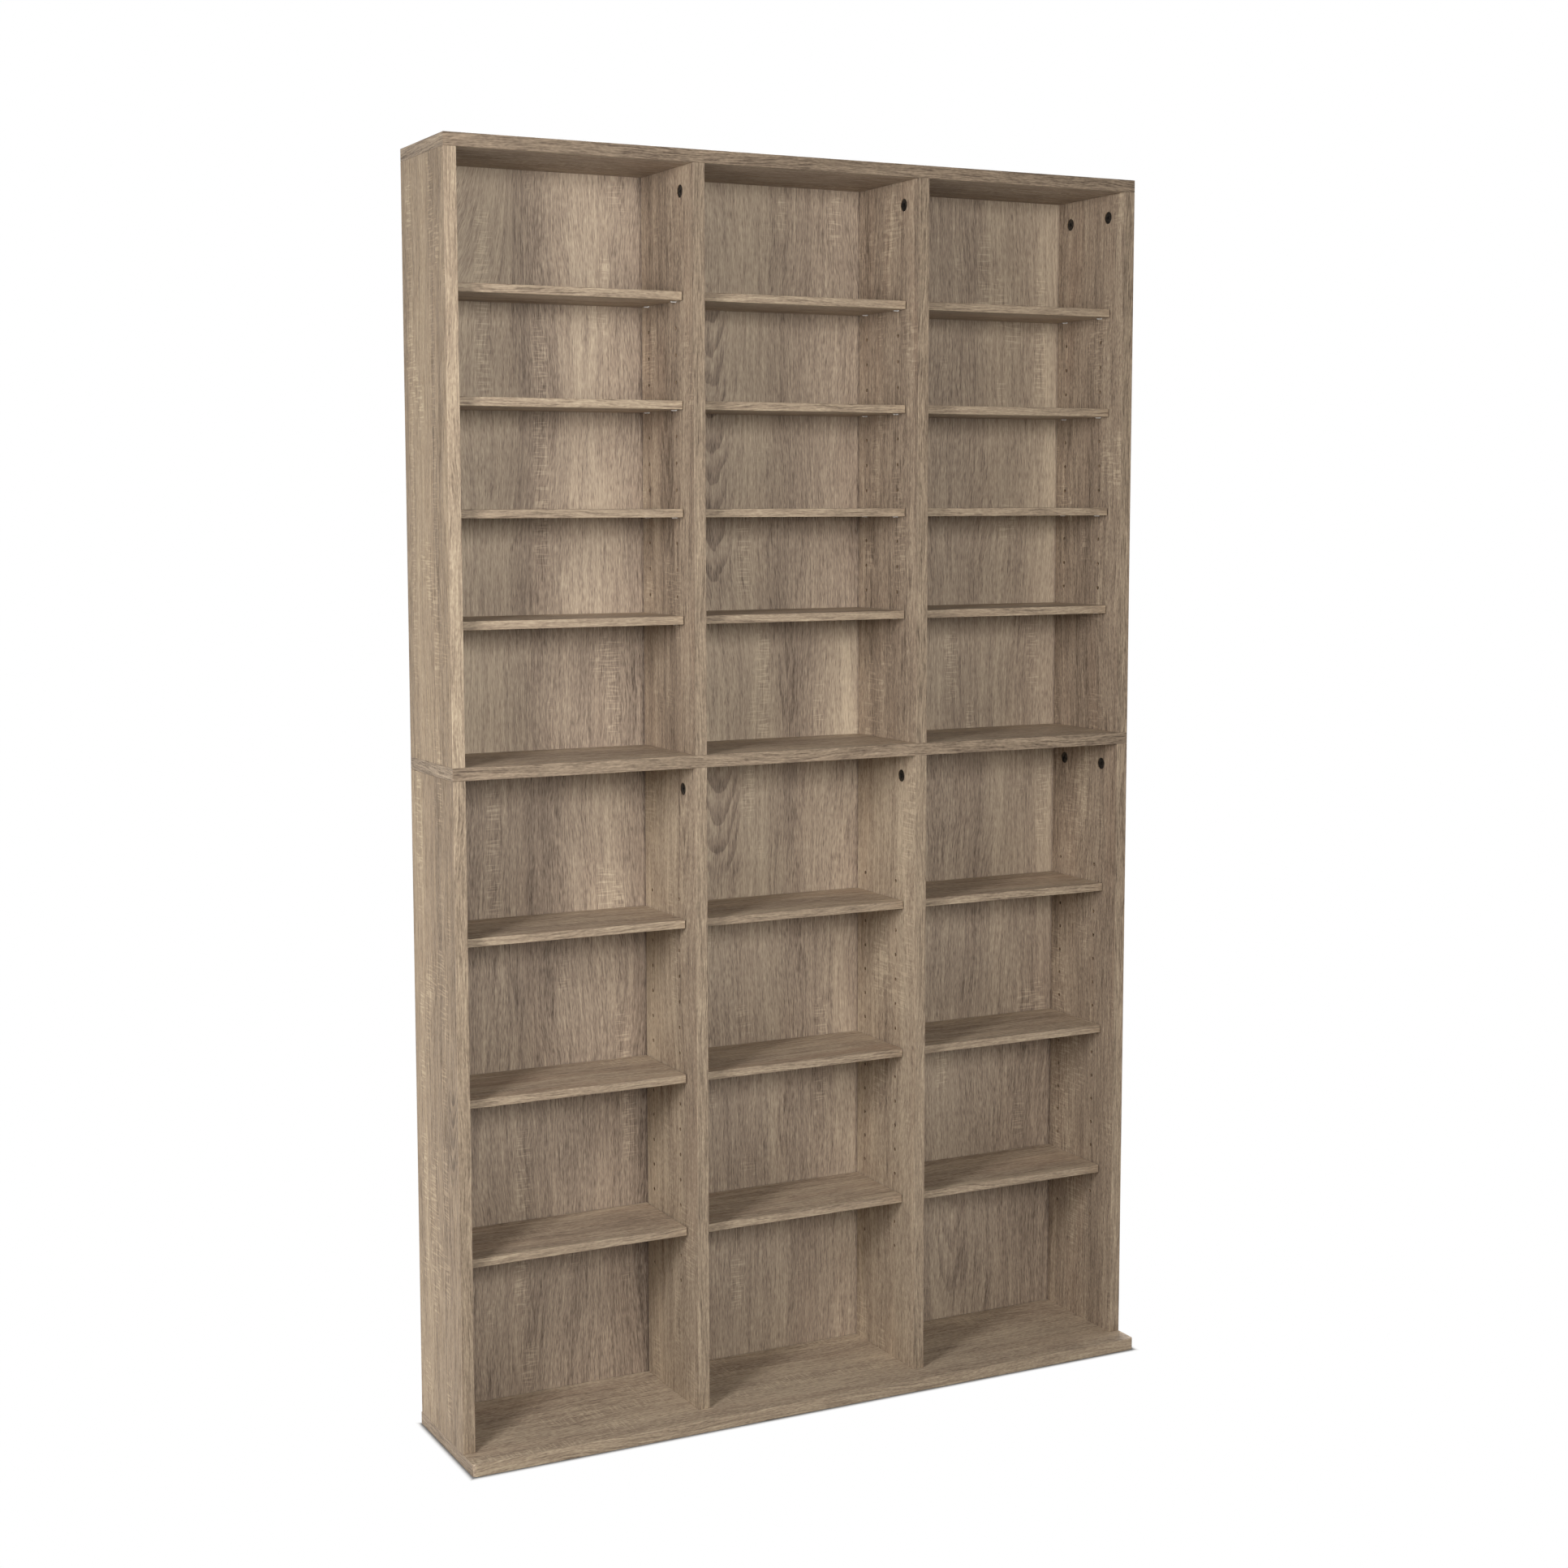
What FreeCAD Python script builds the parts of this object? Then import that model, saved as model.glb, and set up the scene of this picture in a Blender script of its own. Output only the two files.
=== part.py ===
# Media shelf: an open cabinet of three bays in two storeys, put together from laminated
# boards with cam locks, dowels and screws, with loose shelves on pins in rows of holes.
#
# Frame: millimetres, +Z up, +X to the right when the open front is faced, +Y to the back.
# The origin is at the middle of the underside of the base board.

import FreeCAD, Part
import math
import os

import Sketcher

# Driving dimensions, each written once. The sheet below holds them under these names.
SIZES = {
    # Boards and the spaces between them
    "board_thickness": 18,
    "bay_width": 342.5,
    "lower_clear_height": 937,
    "upper_clear_height": 819,
    "upright_depth": 175,
    "base_reach": 40,
    # Back sheets, laid on the rear edges of the boards
    "back_thickness": 3,
    "back_side_margin": 1.5,
    "back_top_margin": 2,
    "back_joint_gap": 0.8,
    # Loose shelves
    "shelf_thickness": 12,
    "shelf_setback": 32.5,
    "shelf_back_gap": 1,
    "shelf_end_gap": 2,
    "shelf_rest_gap": 0.3,
    # Rows of pin holes in the uprights
    "pin_pitch": 37.65,
    "pin_front_inset": 58,
    "pin_back_inset": 24,
    "upper_first_hole_drop": 183.6,
    "lower_first_hole_drop": 195.3,
    "upper_hole_count": 13,
    "lower_hole_count": 16,
    "pin_hole_diameter": 5,
    "pin_hole_depth": 9,
    # Shelf pins: a bar in the hole, flattened on top where the shelf rests
    "pin_clearance": 0.1,
    "pin_shank_length": 8,
    "pin_reach": 8,
    "pin_collar": 1.6,
    "pin_seat_drop": 1,
    # Cam locks and the bolts that they draw down
    "cam_distance": 34,
    "cam_front_inset": 43,
    "cam_back_inset": 31,
    "cam_bore_diameter": 18,
    "cam_bore_depth": 13.5,
    "cam_clearance": 0.15,
    "cam_sink": 0.5,
    "cam_floor_gap": 0.2,
    "cam_cross_length": 8,
    "cam_cross_width": 1.6,
    "cam_cross_depth": 2.5,
    "cam_mouth_height": 3.4,
    "bolt_diameter": 6.4,
    "bolt_grip": 11,
    "bolt_neck_diameter": 4,
    "bolt_head_diameter": 7,
    "bolt_head_length": 5,
    "bolt_head_gap": 0.3,
    # Wooden dowels
    "dowel_diameter": 8,
    "dowel_length": 30,
    "dowel_back_inset": 31,
    # Screws driven up into the feet of the uprights
    "screw_front_inset": 68,
    "screw_back_inset": 55,
    "screw_head_diameter": 10,
    "screw_head_height": 3,
    "screw_shank_diameter": 6.4,
    "screw_length": 50,
    # Play round every hidden fastener, and how far each cut runs past a face
    "fastener_clearance": 0.15,
    "cut_overrun": 1,
}

BAYS = ("left", "middle", "right")
UPRIGHTS = ("left_side", "left_divider", "right_divider", "right_side")

# Which hole of a row carries each shelf, counted from the top hole as 0.
UPPER_SHELF_HOLES = (0, 4, 8, 12)
LOWER_SHELF_HOLES = (1, 7, 13)

# Pins, bolts, dowels and screws are faceted bars in holes of the same form. The cams and
# their bores have more sides.
BAR_SIDES = 6
CAM_SIDES = 12

doc = FreeCAD.newDocument("media_shelf")

sheet = doc.addObject("Spreadsheet::Sheet", "Sizes")
for row, (name, value) in enumerate(SIZES.items(), start=1):
    sheet.set(f"A{row}", name)
    sheet.set(f"B{row}", str(value))
    sheet.setAlias(f"B{row}", name)
doc.recompute()

# Places that several pieces share, as expressions on the sheet.
UPRIGHT_STEP = "(Sizes.bay_width + Sizes.board_thickness)"
CABINET_WIDTH = f"({len(BAYS)} * Sizes.bay_width + {len(UPRIGHTS)} * Sizes.board_thickness)"
CABINET_LEFT = f"(-{CABINET_WIDTH} / 2)"
BASE_DEPTH = "(Sizes.base_reach + Sizes.upright_depth + Sizes.back_thickness)"
BASE_FRONT = f"(-{BASE_DEPTH} / 2)"
UPRIGHT_FRONT = f"({BASE_FRONT} + Sizes.base_reach)"
UPRIGHT_BACK = f"({UPRIGHT_FRONT} + Sizes.upright_depth)"
LOWER_FOOT = "Sizes.board_thickness"
MIDDLE_UNDERSIDE = f"({LOWER_FOOT} + Sizes.lower_clear_height)"
UPPER_FOOT = f"({MIDDLE_UNDERSIDE} + Sizes.board_thickness)"
TOP_UNDERSIDE = f"({UPPER_FOOT} + Sizes.upper_clear_height)"
PIN_ROW_SPACING = "(Sizes.upright_depth - Sizes.pin_front_inset - Sizes.pin_back_inset)"
CAM_SPACING = "(Sizes.upright_depth - Sizes.cam_front_inset - Sizes.cam_back_inset)"
SCREW_SPACING = "(Sizes.upright_depth - Sizes.screw_front_inset - Sizes.screw_back_inset)"
DIVIDER_DOWEL_INSET = "(Sizes.upright_depth - Sizes.dowel_back_inset)"
# The dowel of a side stands midway between the screws that meet it from above.
SIDE_DOWEL_INSET = f"(Sizes.screw_front_inset + {SCREW_SPACING} / 2)"
MID_BOARD = "(Sizes.board_thickness / 2)"
SHELF_LENGTH = "(Sizes.bay_width - 2 * Sizes.shelf_end_gap)"
SHELF_DEPTH = "(Sizes.upright_depth - Sizes.shelf_setback - Sizes.shelf_back_gap)"

# What each storey has of its own: where its uprights stand, and its rows of holes.
STOREYS = {
    "lower": {
        "foot": LOWER_FOOT,
        "height": "Sizes.lower_clear_height",
        "first_hole_drop": "Sizes.lower_first_hole_drop",
        "hole_count": "Sizes.lower_hole_count",
        "shelf_holes": LOWER_SHELF_HOLES,
    },
    "upper": {
        "foot": UPPER_FOOT,
        "height": "Sizes.upper_clear_height",
        "first_hole_drop": "Sizes.upper_first_hole_drop",
        "hole_count": "Sizes.upper_hole_count",
        "shelf_holes": UPPER_SHELF_HOLES,
    },
}

pieces = []


def bind(thing, formulas):
    """Tie properties of an object to the sheet."""
    for path, formula in formulas.items():
        thing.setExpression(path, str(formula))


def place(thing, along_x, along_y, along_z):
    """Put an object at three expressions of the cabinet's frame."""
    bind(thing, {
        "Placement.Base.x": along_x,
        "Placement.Base.y": along_y,
        "Placement.Base.z": along_z,
    })


def origin_part(body, role):
    """One of the body's own planes or axes, found by its role."""
    return next(part for part in body.Origin.OriginFeatures if part.Role == role)


def new_body(label):
    """Start a body under its own label."""
    body = doc.addObject("PartDesign::Body", label)
    body.Label = label
    return body


def attach(feature, body, role, offset):
    """Attach a sketch or primitive to a plane of its own body, moved by three expressions."""
    feature.AttachmentSupport = [(origin_part(body, role), "")]
    feature.MapMode = "FlatFace"
    for axis, formula in zip("xyz", offset):
        feature.setExpression(f"AttachmentOffset.Base.{axis}", formula)


def rectangle(body, name, width, height):
    """A rectangle sketched on the XY plane, from the body's own corner."""
    sketch = body.newObject("Sketcher::SketchObject", name)
    sketch.AttachmentSupport = [(origin_part(body, "XY_Plane"), "")]
    sketch.MapMode = "FlatFace"
    corners = [FreeCAD.Vector(x, y, 0) for x, y in ((0, 0), (1, 0), (1, 1), (0, 1))]
    for start in range(len(corners)):
        following = (start + 1) % len(corners)
        sketch.addGeometry(Part.LineSegment(corners[start], corners[following]))
    for side in range(len(corners)):
        sketch.addConstraint(Sketcher.Constraint("Coincident", side, 2, (side + 1) % len(corners), 1))
    for side, direction in enumerate(("Horizontal", "Vertical", "Horizontal", "Vertical")):
        sketch.addConstraint(Sketcher.Constraint(direction, side))
    sketch.addConstraint(Sketcher.Constraint("Coincident", 0, 1, -1, 1))
    across = sketch.addConstraint(Sketcher.Constraint("DistanceX", 0, 1, 0, 2, 1.0))
    up = sketch.addConstraint(Sketcher.Constraint("DistanceY", 1, 1, 1, 2, 1.0))
    sketch.setExpression(f"Constraints[{across}]", width)
    sketch.setExpression(f"Constraints[{up}]", height)
    return sketch


def board(label, width, depth, thickness):
    """A flat board: its plan sketched from its corner and padded up to its thickness."""
    body = new_body(label)
    pad = body.newObject("PartDesign::Pad", "board")
    pad.Profile = rectangle(body, "plan", width, depth)
    pad.setExpression("Length", thickness)
    pieces.append(body)
    return body


def box(body, kind, name, size, corner):
    """Add or cut a box in a body; its size and nearest corner are expressions."""
    block = body.newObject(f"PartDesign::{kind}Box", name)
    attach(block, body, "XY_Plane", corner)
    bind(block, dict(zip(("Length", "Width", "Height"), size)))
    return block


def bar(body, kind, name, role, radius, length, offset, sides=BAR_SIDES):
    """Add or cut a faceted bar that rises from a plane of the body."""
    prism = body.newObject(f"PartDesign::{kind}Prism", name)
    attach(prism, body, role, offset)
    prism.Polygon = sides
    bind(prism, {"Circumradius": radius, "Height": length})
    return prism


def polygon(body, name, radius, offset):
    """A faceted ring sketched on the XY plane, with its corners on a circle and one towards +X."""
    sketch = body.newObject("Sketcher::SketchObject", name)
    attach(sketch, body, "XY_Plane", offset)
    turns = [2 * math.pi * side / BAR_SIDES for side in range(BAR_SIDES)]
    corners = [FreeCAD.Vector(math.cos(turn), math.sin(turn), 0) for turn in turns]
    for side in range(BAR_SIDES):
        sketch.addGeometry(Part.LineSegment(corners[side], corners[(side + 1) % BAR_SIDES]))
    circle = sketch.addGeometry(Part.Circle(FreeCAD.Vector(), FreeCAD.Vector(0, 0, 1), 1), True)
    sketch.addConstraint(Sketcher.Constraint("Coincident", circle, 3, -1, 1))
    for side in range(BAR_SIDES):
        following = (side + 1) % BAR_SIDES
        sketch.addConstraint(Sketcher.Constraint("Coincident", side, 2, following, 1))
        sketch.addConstraint(Sketcher.Constraint("PointOnObject", side, 1, circle))
        if following:
            sketch.addConstraint(Sketcher.Constraint("Equal", side, following))
    sketch.addConstraint(Sketcher.Constraint("PointOnObject", 0, 1, -1))
    size = sketch.addConstraint(Sketcher.Constraint("Radius", circle, 1.0))
    sketch.setExpression(f"Constraints[{size}]", radius)
    return sketch


def taper(body, kind, name, wide, narrow, length, offset):
    """Add or cut a faceted cone that rises along Z from a wide end to a narrow one."""
    along_x, along_y, along_z = offset
    loft = body.newObject(f"PartDesign::{kind}Loft", name)
    loft.Profile = polygon(body, f"{name}_wide_end", wide, offset)
    far_end = (along_x, along_y, f"({along_z} + {length})")
    loft.Sections = [polygon(body, f"{name}_narrow_end", narrow, far_end)]
    loft.Ruled = True
    return loft


def repeat(body, name, feature, axis, span, count, second_axis=None, second_span=None, second_count=1):
    """Repeat a feature evenly along an axis of the body, and along a second one if given."""
    pattern = body.newObject("PartDesign::LinearPattern", name)
    pattern.Originals = [feature]
    pattern.Direction = (origin_part(body, axis), [""])
    bind(pattern, {"Length": span, "Occurrences": count})
    if second_axis:
        pattern.Direction2 = (origin_part(body, second_axis), [""])
        bind(pattern, {"Length2": second_span, "Occurrences2": second_count})
    body.Tip = pattern
    return pattern


def group(label, master, places):
    """A set of like pieces: links to one master piece, each at its own place.

    Each place is three expressions and a turn about the upright axis in degrees.
    """
    links = []
    for along_x, along_y, along_z, turn in places:
        link = doc.addObject("App::Link", f"{label}_link")
        link.LinkedObject = master
        link.Placement.Rotation = FreeCAD.Rotation(FreeCAD.Vector(0, 0, 1), turn)
        place(link, along_x, along_y, along_z)
        links.append(link)
    compound = doc.addObject("Part::Compound", label)
    compound.Label = label
    compound.Links = links
    pieces.append(compound)


def upright_left(index):
    """X of the left face of an upright, counted from the left side as 0."""
    return f"({CABINET_LEFT} + {index} * {UPRIGHT_STEP})"


def hole_height(storey, hole):
    """Z of the axis of a pin hole, counted from the top hole of its row as 0."""
    return (
        f"({storey['foot']} + {storey['height']} - {storey['first_hole_drop']}"
        f" - {hole} * Sizes.pin_pitch)"
    )


# Holes in the uprights

def drill_pin_rows(body, storey, index):
    """Two rows of pin holes: blind in the inner face of a side, right through a divider."""
    depth = "(Sizes.pin_hole_depth + Sizes.cut_overrun)"
    start = "(-Sizes.cut_overrun)"
    if index == 0:
        start = "(Sizes.board_thickness - Sizes.pin_hole_depth)"
    elif index < len(UPRIGHTS) - 1:
        depth = "(Sizes.board_thickness + 2 * Sizes.cut_overrun)"
    span = f"(({storey['hole_count']} - 1) * Sizes.pin_pitch)"
    lowest = f"({storey['height']} - {storey['first_hole_drop']} - {span})"
    hole = bar(body, "Subtractive", "pin_hole", "YZ_Plane", "Sizes.pin_hole_diameter / 2", depth,
               ("Sizes.pin_front_inset", lowest, start))
    repeat(body, "pin_holes", hole, "Z_Axis", span, storey["hole_count"],
           "Y_Axis", PIN_ROW_SPACING, 2)


def bore_for_cams(body, storey, index):
    """Cam bores in one face, and the bolt holes that run down to them from the top end.

    A side has two cams in its inner face. A divider has one at the front, in its left face.
    """
    cam_count = 2 if index in (0, len(UPRIGHTS) - 1) else 1
    start = "(-Sizes.cut_overrun)"
    if index == 0:
        start = "(Sizes.board_thickness - Sizes.cam_bore_depth)"
    height = f"({storey['height']} - Sizes.cam_distance)"
    bore = bar(body, "Subtractive", "cam_bore", "YZ_Plane", "Sizes.cam_bore_diameter / 2",
               "(Sizes.cam_bore_depth + Sizes.cut_overrun)",
               ("Sizes.cam_front_inset", height, start), CAM_SIDES)
    if cam_count > 1:
        repeat(body, "cam_bores", bore, "Y_Axis", CAM_SPACING, cam_count)
    bolt_hole = bar(body, "Subtractive", "bolt_hole", "XY_Plane",
                    "Sizes.bolt_diameter / 2 + Sizes.fastener_clearance",
                    "(Sizes.cam_distance + Sizes.cut_overrun)",
                    (MID_BOARD, "Sizes.cam_front_inset", height))
    if cam_count > 1:
        repeat(body, "bolt_holes", bolt_hole, "Y_Axis", CAM_SPACING, cam_count)


def drill_ends(body, storey, index):
    """The dowel hole in the top end and the two screw holes in the foot."""
    inset = SIDE_DOWEL_INSET if index in (0, len(UPRIGHTS) - 1) else DIVIDER_DOWEL_INSET
    bar(body, "Subtractive", "dowel_hole", "XY_Plane",
        "Sizes.dowel_diameter / 2 + Sizes.fastener_clearance",
        "(Sizes.dowel_length / 2 + Sizes.fastener_clearance + Sizes.cut_overrun)",
        (MID_BOARD, inset,
         f"({storey['height']} - Sizes.dowel_length / 2 - Sizes.fastener_clearance)"))
    screw_hole = bar(body, "Subtractive", "screw_hole", "XY_Plane",
                     "Sizes.screw_shank_diameter / 2 + Sizes.fastener_clearance",
                     "(Sizes.screw_length - Sizes.board_thickness + Sizes.fastener_clearance"
                     " + Sizes.cut_overrun)",
                     (MID_BOARD, "Sizes.screw_front_inset", "(-Sizes.cut_overrun)"))
    repeat(body, "screw_holes", screw_hole, "Y_Axis", SCREW_SPACING, 2)


def make_upright(storey_name, index):
    """A side or divider of one storey, with all its holes."""
    storey = STOREYS[storey_name]
    body = board(f"{storey_name}_{UPRIGHTS[index]}", "Sizes.board_thickness", "Sizes.upright_depth",
                 storey["height"])
    place(body, upright_left(index), UPRIGHT_FRONT, storey["foot"])
    bore_for_cams(body, storey, index)
    drill_ends(body, storey, index)
    drill_pin_rows(body, storey, index)


# Holes in the boards that lie across the uprights

def drill_underside(body, front):
    """Blind holes in the underside for the cam bolts and dowels of the uprights below."""
    side_span = f"({len(BAYS)} * {UPRIGHT_STEP})"
    depth = "(Sizes.bolt_grip + Sizes.fastener_clearance + Sizes.cut_overrun)"
    radius = "Sizes.bolt_diameter / 2 + Sizes.fastener_clearance"
    start = "(-Sizes.cut_overrun)"
    front_bolt = bar(body, "Subtractive", "front_bolt_hole", "XY_Plane", radius, depth,
                     (MID_BOARD, f"({front} + Sizes.cam_front_inset)", start))
    repeat(body, "front_bolt_holes", front_bolt, "X_Axis", side_span, len(UPRIGHTS))
    back_bolt = bar(body, "Subtractive", "back_bolt_hole", "XY_Plane", radius, depth,
                    (MID_BOARD, f"({front} + Sizes.upright_depth - Sizes.cam_back_inset)", start))
    repeat(body, "back_bolt_holes", back_bolt, "X_Axis", side_span, 2)
    dowel_depth = "(Sizes.dowel_length / 2 + Sizes.fastener_clearance + Sizes.cut_overrun)"
    dowel_radius = "Sizes.dowel_diameter / 2 + Sizes.fastener_clearance"
    side_dowel = bar(body, "Subtractive", "side_dowel_hole", "XY_Plane", dowel_radius, dowel_depth,
                     (MID_BOARD, f"({front} + {SIDE_DOWEL_INSET})", start))
    repeat(body, "side_dowel_holes", side_dowel, "X_Axis", side_span, 2)
    divider_dowel = bar(body, "Subtractive", "divider_dowel_hole", "XY_Plane", dowel_radius,
                        dowel_depth, (f"({MID_BOARD} + {UPRIGHT_STEP})",
                                      f"({front} + {DIVIDER_DOWEL_INSET})", start))
    repeat(body, "divider_dowel_holes", divider_dowel, "X_Axis", UPRIGHT_STEP, 2)


def drill_for_screws(body, front):
    """Holes right through for the screws into the uprights above, sunk for their heads."""
    side_span = f"({len(BAYS)} * {UPRIGHT_STEP})"
    along_y = f"({front} + Sizes.screw_front_inset)"
    shank = bar(body, "Subtractive", "screw_hole", "XY_Plane",
                "Sizes.screw_shank_diameter / 2 + Sizes.fastener_clearance",
                "(Sizes.board_thickness + 2 * Sizes.cut_overrun)",
                (MID_BOARD, along_y, "(-Sizes.cut_overrun)"))
    repeat(body, "screw_holes", shank, "X_Axis", side_span, len(UPRIGHTS), "Y_Axis", SCREW_SPACING, 2)
    head = taper(body, "Subtractive", "head_sink",
                 "(Sizes.screw_head_diameter / 2 + Sizes.fastener_clearance)",
                 "(Sizes.screw_shank_diameter / 2 + Sizes.fastener_clearance)",
                 "Sizes.screw_head_height", (MID_BOARD, along_y, "0"))
    repeat(body, "head_sinks", head, "X_Axis", side_span, len(UPRIGHTS), "Y_Axis", SCREW_SPACING, 2)


def make_base():
    """The base board, which runs out in front of the uprights and back under the sheets."""
    body = board("base_panel", CABINET_WIDTH, BASE_DEPTH, "Sizes.board_thickness")
    place(body, CABINET_LEFT, BASE_FRONT, "0")
    drill_for_screws(body, "Sizes.base_reach")


def make_middle():
    """The middle board, which closes the lower storey and carries the upper one."""
    body = board("middle_panel", CABINET_WIDTH, "Sizes.upright_depth", "Sizes.board_thickness")
    place(body, CABINET_LEFT, UPRIGHT_FRONT, MIDDLE_UNDERSIDE)
    drill_underside(body, "0")
    drill_for_screws(body, "0")


def make_top():
    """The top board."""
    body = board("top_panel", CABINET_WIDTH, "Sizes.upright_depth", "Sizes.board_thickness")
    place(body, CABINET_LEFT, UPRIGHT_FRONT, TOP_UNDERSIDE)
    drill_underside(body, "0")


def make_back_sheets():
    """Thin sheets on the rear edges: they meet behind the dividers and behind the middle board."""
    seam = "(Sizes.back_joint_gap / 2)"
    left_edges = {
        "left": f"({CABINET_LEFT} + Sizes.back_side_margin)",
        "middle": f"({upright_left(1)} + {MID_BOARD} + {seam})",
        "right": f"({upright_left(2)} + {MID_BOARD} + {seam})",
    }
    right_edges = {
        "left": f"({upright_left(1)} + {MID_BOARD} - {seam})",
        "middle": f"({upright_left(2)} + {MID_BOARD} - {seam})",
        "right": f"({CABINET_LEFT} + {CABINET_WIDTH} - Sizes.back_side_margin)",
    }
    feet = {
        "lower": f"({LOWER_FOOT} + {seam})",
        "upper": f"({MIDDLE_UNDERSIDE} + {MID_BOARD} + {seam})",
    }
    heads = {
        "lower": f"({MIDDLE_UNDERSIDE} + {MID_BOARD} - {seam})",
        "upper": f"({TOP_UNDERSIDE} + Sizes.board_thickness - Sizes.back_top_margin)",
    }
    for storey_name in STOREYS:
        for bay in BAYS:
            body = board(f"{storey_name}_{bay}_back", f"({right_edges[bay]} - {left_edges[bay]})",
                         "Sizes.back_thickness", f"({heads[storey_name]} - {feet[storey_name]})")
            place(body, left_edges[bay], UPRIGHT_BACK, feet[storey_name])


def make_shelves():
    """Loose shelves, each a little clear of the uprights, the back and its pins."""
    for storey_name, storey in STOREYS.items():
        for bay_index, bay in enumerate(BAYS):
            for number, hole in enumerate(storey["shelf_holes"], start=1):
                body = board(f"{storey_name}_{bay}_shelf_{number}", SHELF_LENGTH, SHELF_DEPTH,
                             "Sizes.shelf_thickness")
                place(body,
                      f"({upright_left(bay_index)} + Sizes.board_thickness + Sizes.shelf_end_gap)",
                      f"({UPRIGHT_FRONT} + Sizes.shelf_setback)",
                      f"({hole_height(storey, hole)} - Sizes.pin_seat_drop + Sizes.shelf_rest_gap)")


# Fasteners: one master piece each, and the groups that repeat it

def pin_master():
    """A shelf pin that points to +X: a bar in the hole, its tongue flattened for the shelf.

    Its origin is on the axis of the hole, in the face of the upright.
    """
    body = new_body("shelf_pin")
    radius = "(Sizes.pin_hole_diameter / 2 - Sizes.pin_clearance)"
    bar(body, "Additive", "bar", "YZ_Plane", radius, "(Sizes.pin_shank_length + Sizes.pin_reach)",
        ("0", "0", "(-Sizes.pin_shank_length)"))
    box(body, "Subtractive", "seat",
        ("(Sizes.pin_reach - Sizes.pin_collar + Sizes.cut_overrun)",
         f"(2 * ({radius} + Sizes.cut_overrun))",
         f"({radius} + Sizes.pin_seat_drop)"),
        ("Sizes.pin_collar", f"(-{radius} - Sizes.cut_overrun)", "(-Sizes.pin_seat_drop)"))
    return body


def cam_master():
    """A cam lock that faces +X: a round body with a cross recess and a hollow for the bolt.

    Its origin is on its axis, in the face of the upright; its mouth is open to +Z.
    """
    body = new_body("cam_lock")
    radius = "(Sizes.cam_bore_diameter / 2 - Sizes.cam_clearance)"
    back = "(-Sizes.cam_bore_depth + Sizes.cam_floor_gap)"
    bar(body, "Additive", "cam_body", "YZ_Plane", radius, f"(-{back} - Sizes.cam_sink)",
        ("0", "0", back), CAM_SIDES)
    recess = "(-Sizes.cam_sink - Sizes.cam_cross_depth)"
    recess_depth = "(Sizes.cam_cross_depth + Sizes.cut_overrun)"
    long_side = "Sizes.cam_cross_length"
    short_side = "Sizes.cam_cross_width"
    box(body, "Subtractive", "cross_upright", (recess_depth, short_side, long_side),
        (recess, f"(-{short_side} / 2)", f"(-{long_side} / 2)"))
    box(body, "Subtractive", "cross_level", (recess_depth, long_side, short_side),
        (recess, f"(-{long_side} / 2)", f"(-{short_side} / 2)"))
    chamber = "(Sizes.bolt_head_diameter / 2 + Sizes.bolt_head_gap)"
    shoulder = f"({radius} - Sizes.cam_mouth_height)"
    box(body, "Subtractive", "chamber",
        (f"(-{MID_BOARD} + {chamber} - {back} + Sizes.cut_overrun)", f"(2 * {chamber})",
         "(Sizes.bolt_head_length + 2 * Sizes.bolt_head_gap)"),
        (f"({back} - Sizes.cut_overrun)", f"(-{chamber})",
         f"({shoulder} - Sizes.bolt_head_length - 2 * Sizes.bolt_head_gap)"))
    mouth = "(Sizes.bolt_neck_diameter / 2 + Sizes.bolt_head_gap)"
    box(body, "Subtractive", "mouth",
        (f"(-{MID_BOARD} + {mouth} - {back} + Sizes.cut_overrun)", f"(2 * {mouth})",
         "(Sizes.cam_mouth_height + Sizes.cut_overrun)"),
        (f"({back} - Sizes.cut_overrun)", f"(-{mouth})", shoulder))
    return body


def bolt_master():
    """A cam bolt that stands on its head: head and neck in the cam, bar up into the board.

    Its origin is on its own axis, level with the axis of the cam.
    """
    body = new_body("cam_bolt")
    radius = "(Sizes.cam_bore_diameter / 2 - Sizes.cam_clearance)"
    shoulder = f"({radius} - Sizes.cam_mouth_height - Sizes.bolt_head_gap)"
    neck_top = f"({radius} + Sizes.bolt_head_gap)"
    bar(body, "Additive", "head", "XY_Plane", "Sizes.bolt_head_diameter / 2",
        "Sizes.bolt_head_length", ("0", "0", f"({shoulder} - Sizes.bolt_head_length)"))
    bar(body, "Additive", "neck", "XY_Plane", "Sizes.bolt_neck_diameter / 2",
        f"({neck_top} - {shoulder})", ("0", "0", shoulder))
    bar(body, "Additive", "shank", "XY_Plane", "Sizes.bolt_diameter / 2",
        f"(Sizes.cam_distance + Sizes.bolt_grip - {neck_top})", ("0", "0", neck_top))
    return body


def dowel_master():
    """A wooden dowel, half in each board; its origin is at the joint."""
    body = new_body("dowel")
    bar(body, "Additive", "dowel_bar", "XY_Plane", "Sizes.dowel_diameter / 2",
        "Sizes.dowel_length", ("0", "0", "(-Sizes.dowel_length / 2)"))
    return body


def screw_master():
    """A countersunk screw, its head flush with the underside of a board, where its origin is."""
    body = new_body("screw")
    taper(body, "Additive", "head", "(Sizes.screw_head_diameter / 2)",
          "(Sizes.screw_shank_diameter / 2)", "Sizes.screw_head_height", ("0", "0", "0"))
    bar(body, "Additive", "shank", "XY_Plane", "Sizes.screw_shank_diameter / 2",
        "(Sizes.screw_length - Sizes.screw_head_height)", ("0", "0", "Sizes.screw_head_height"))
    return body


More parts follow.
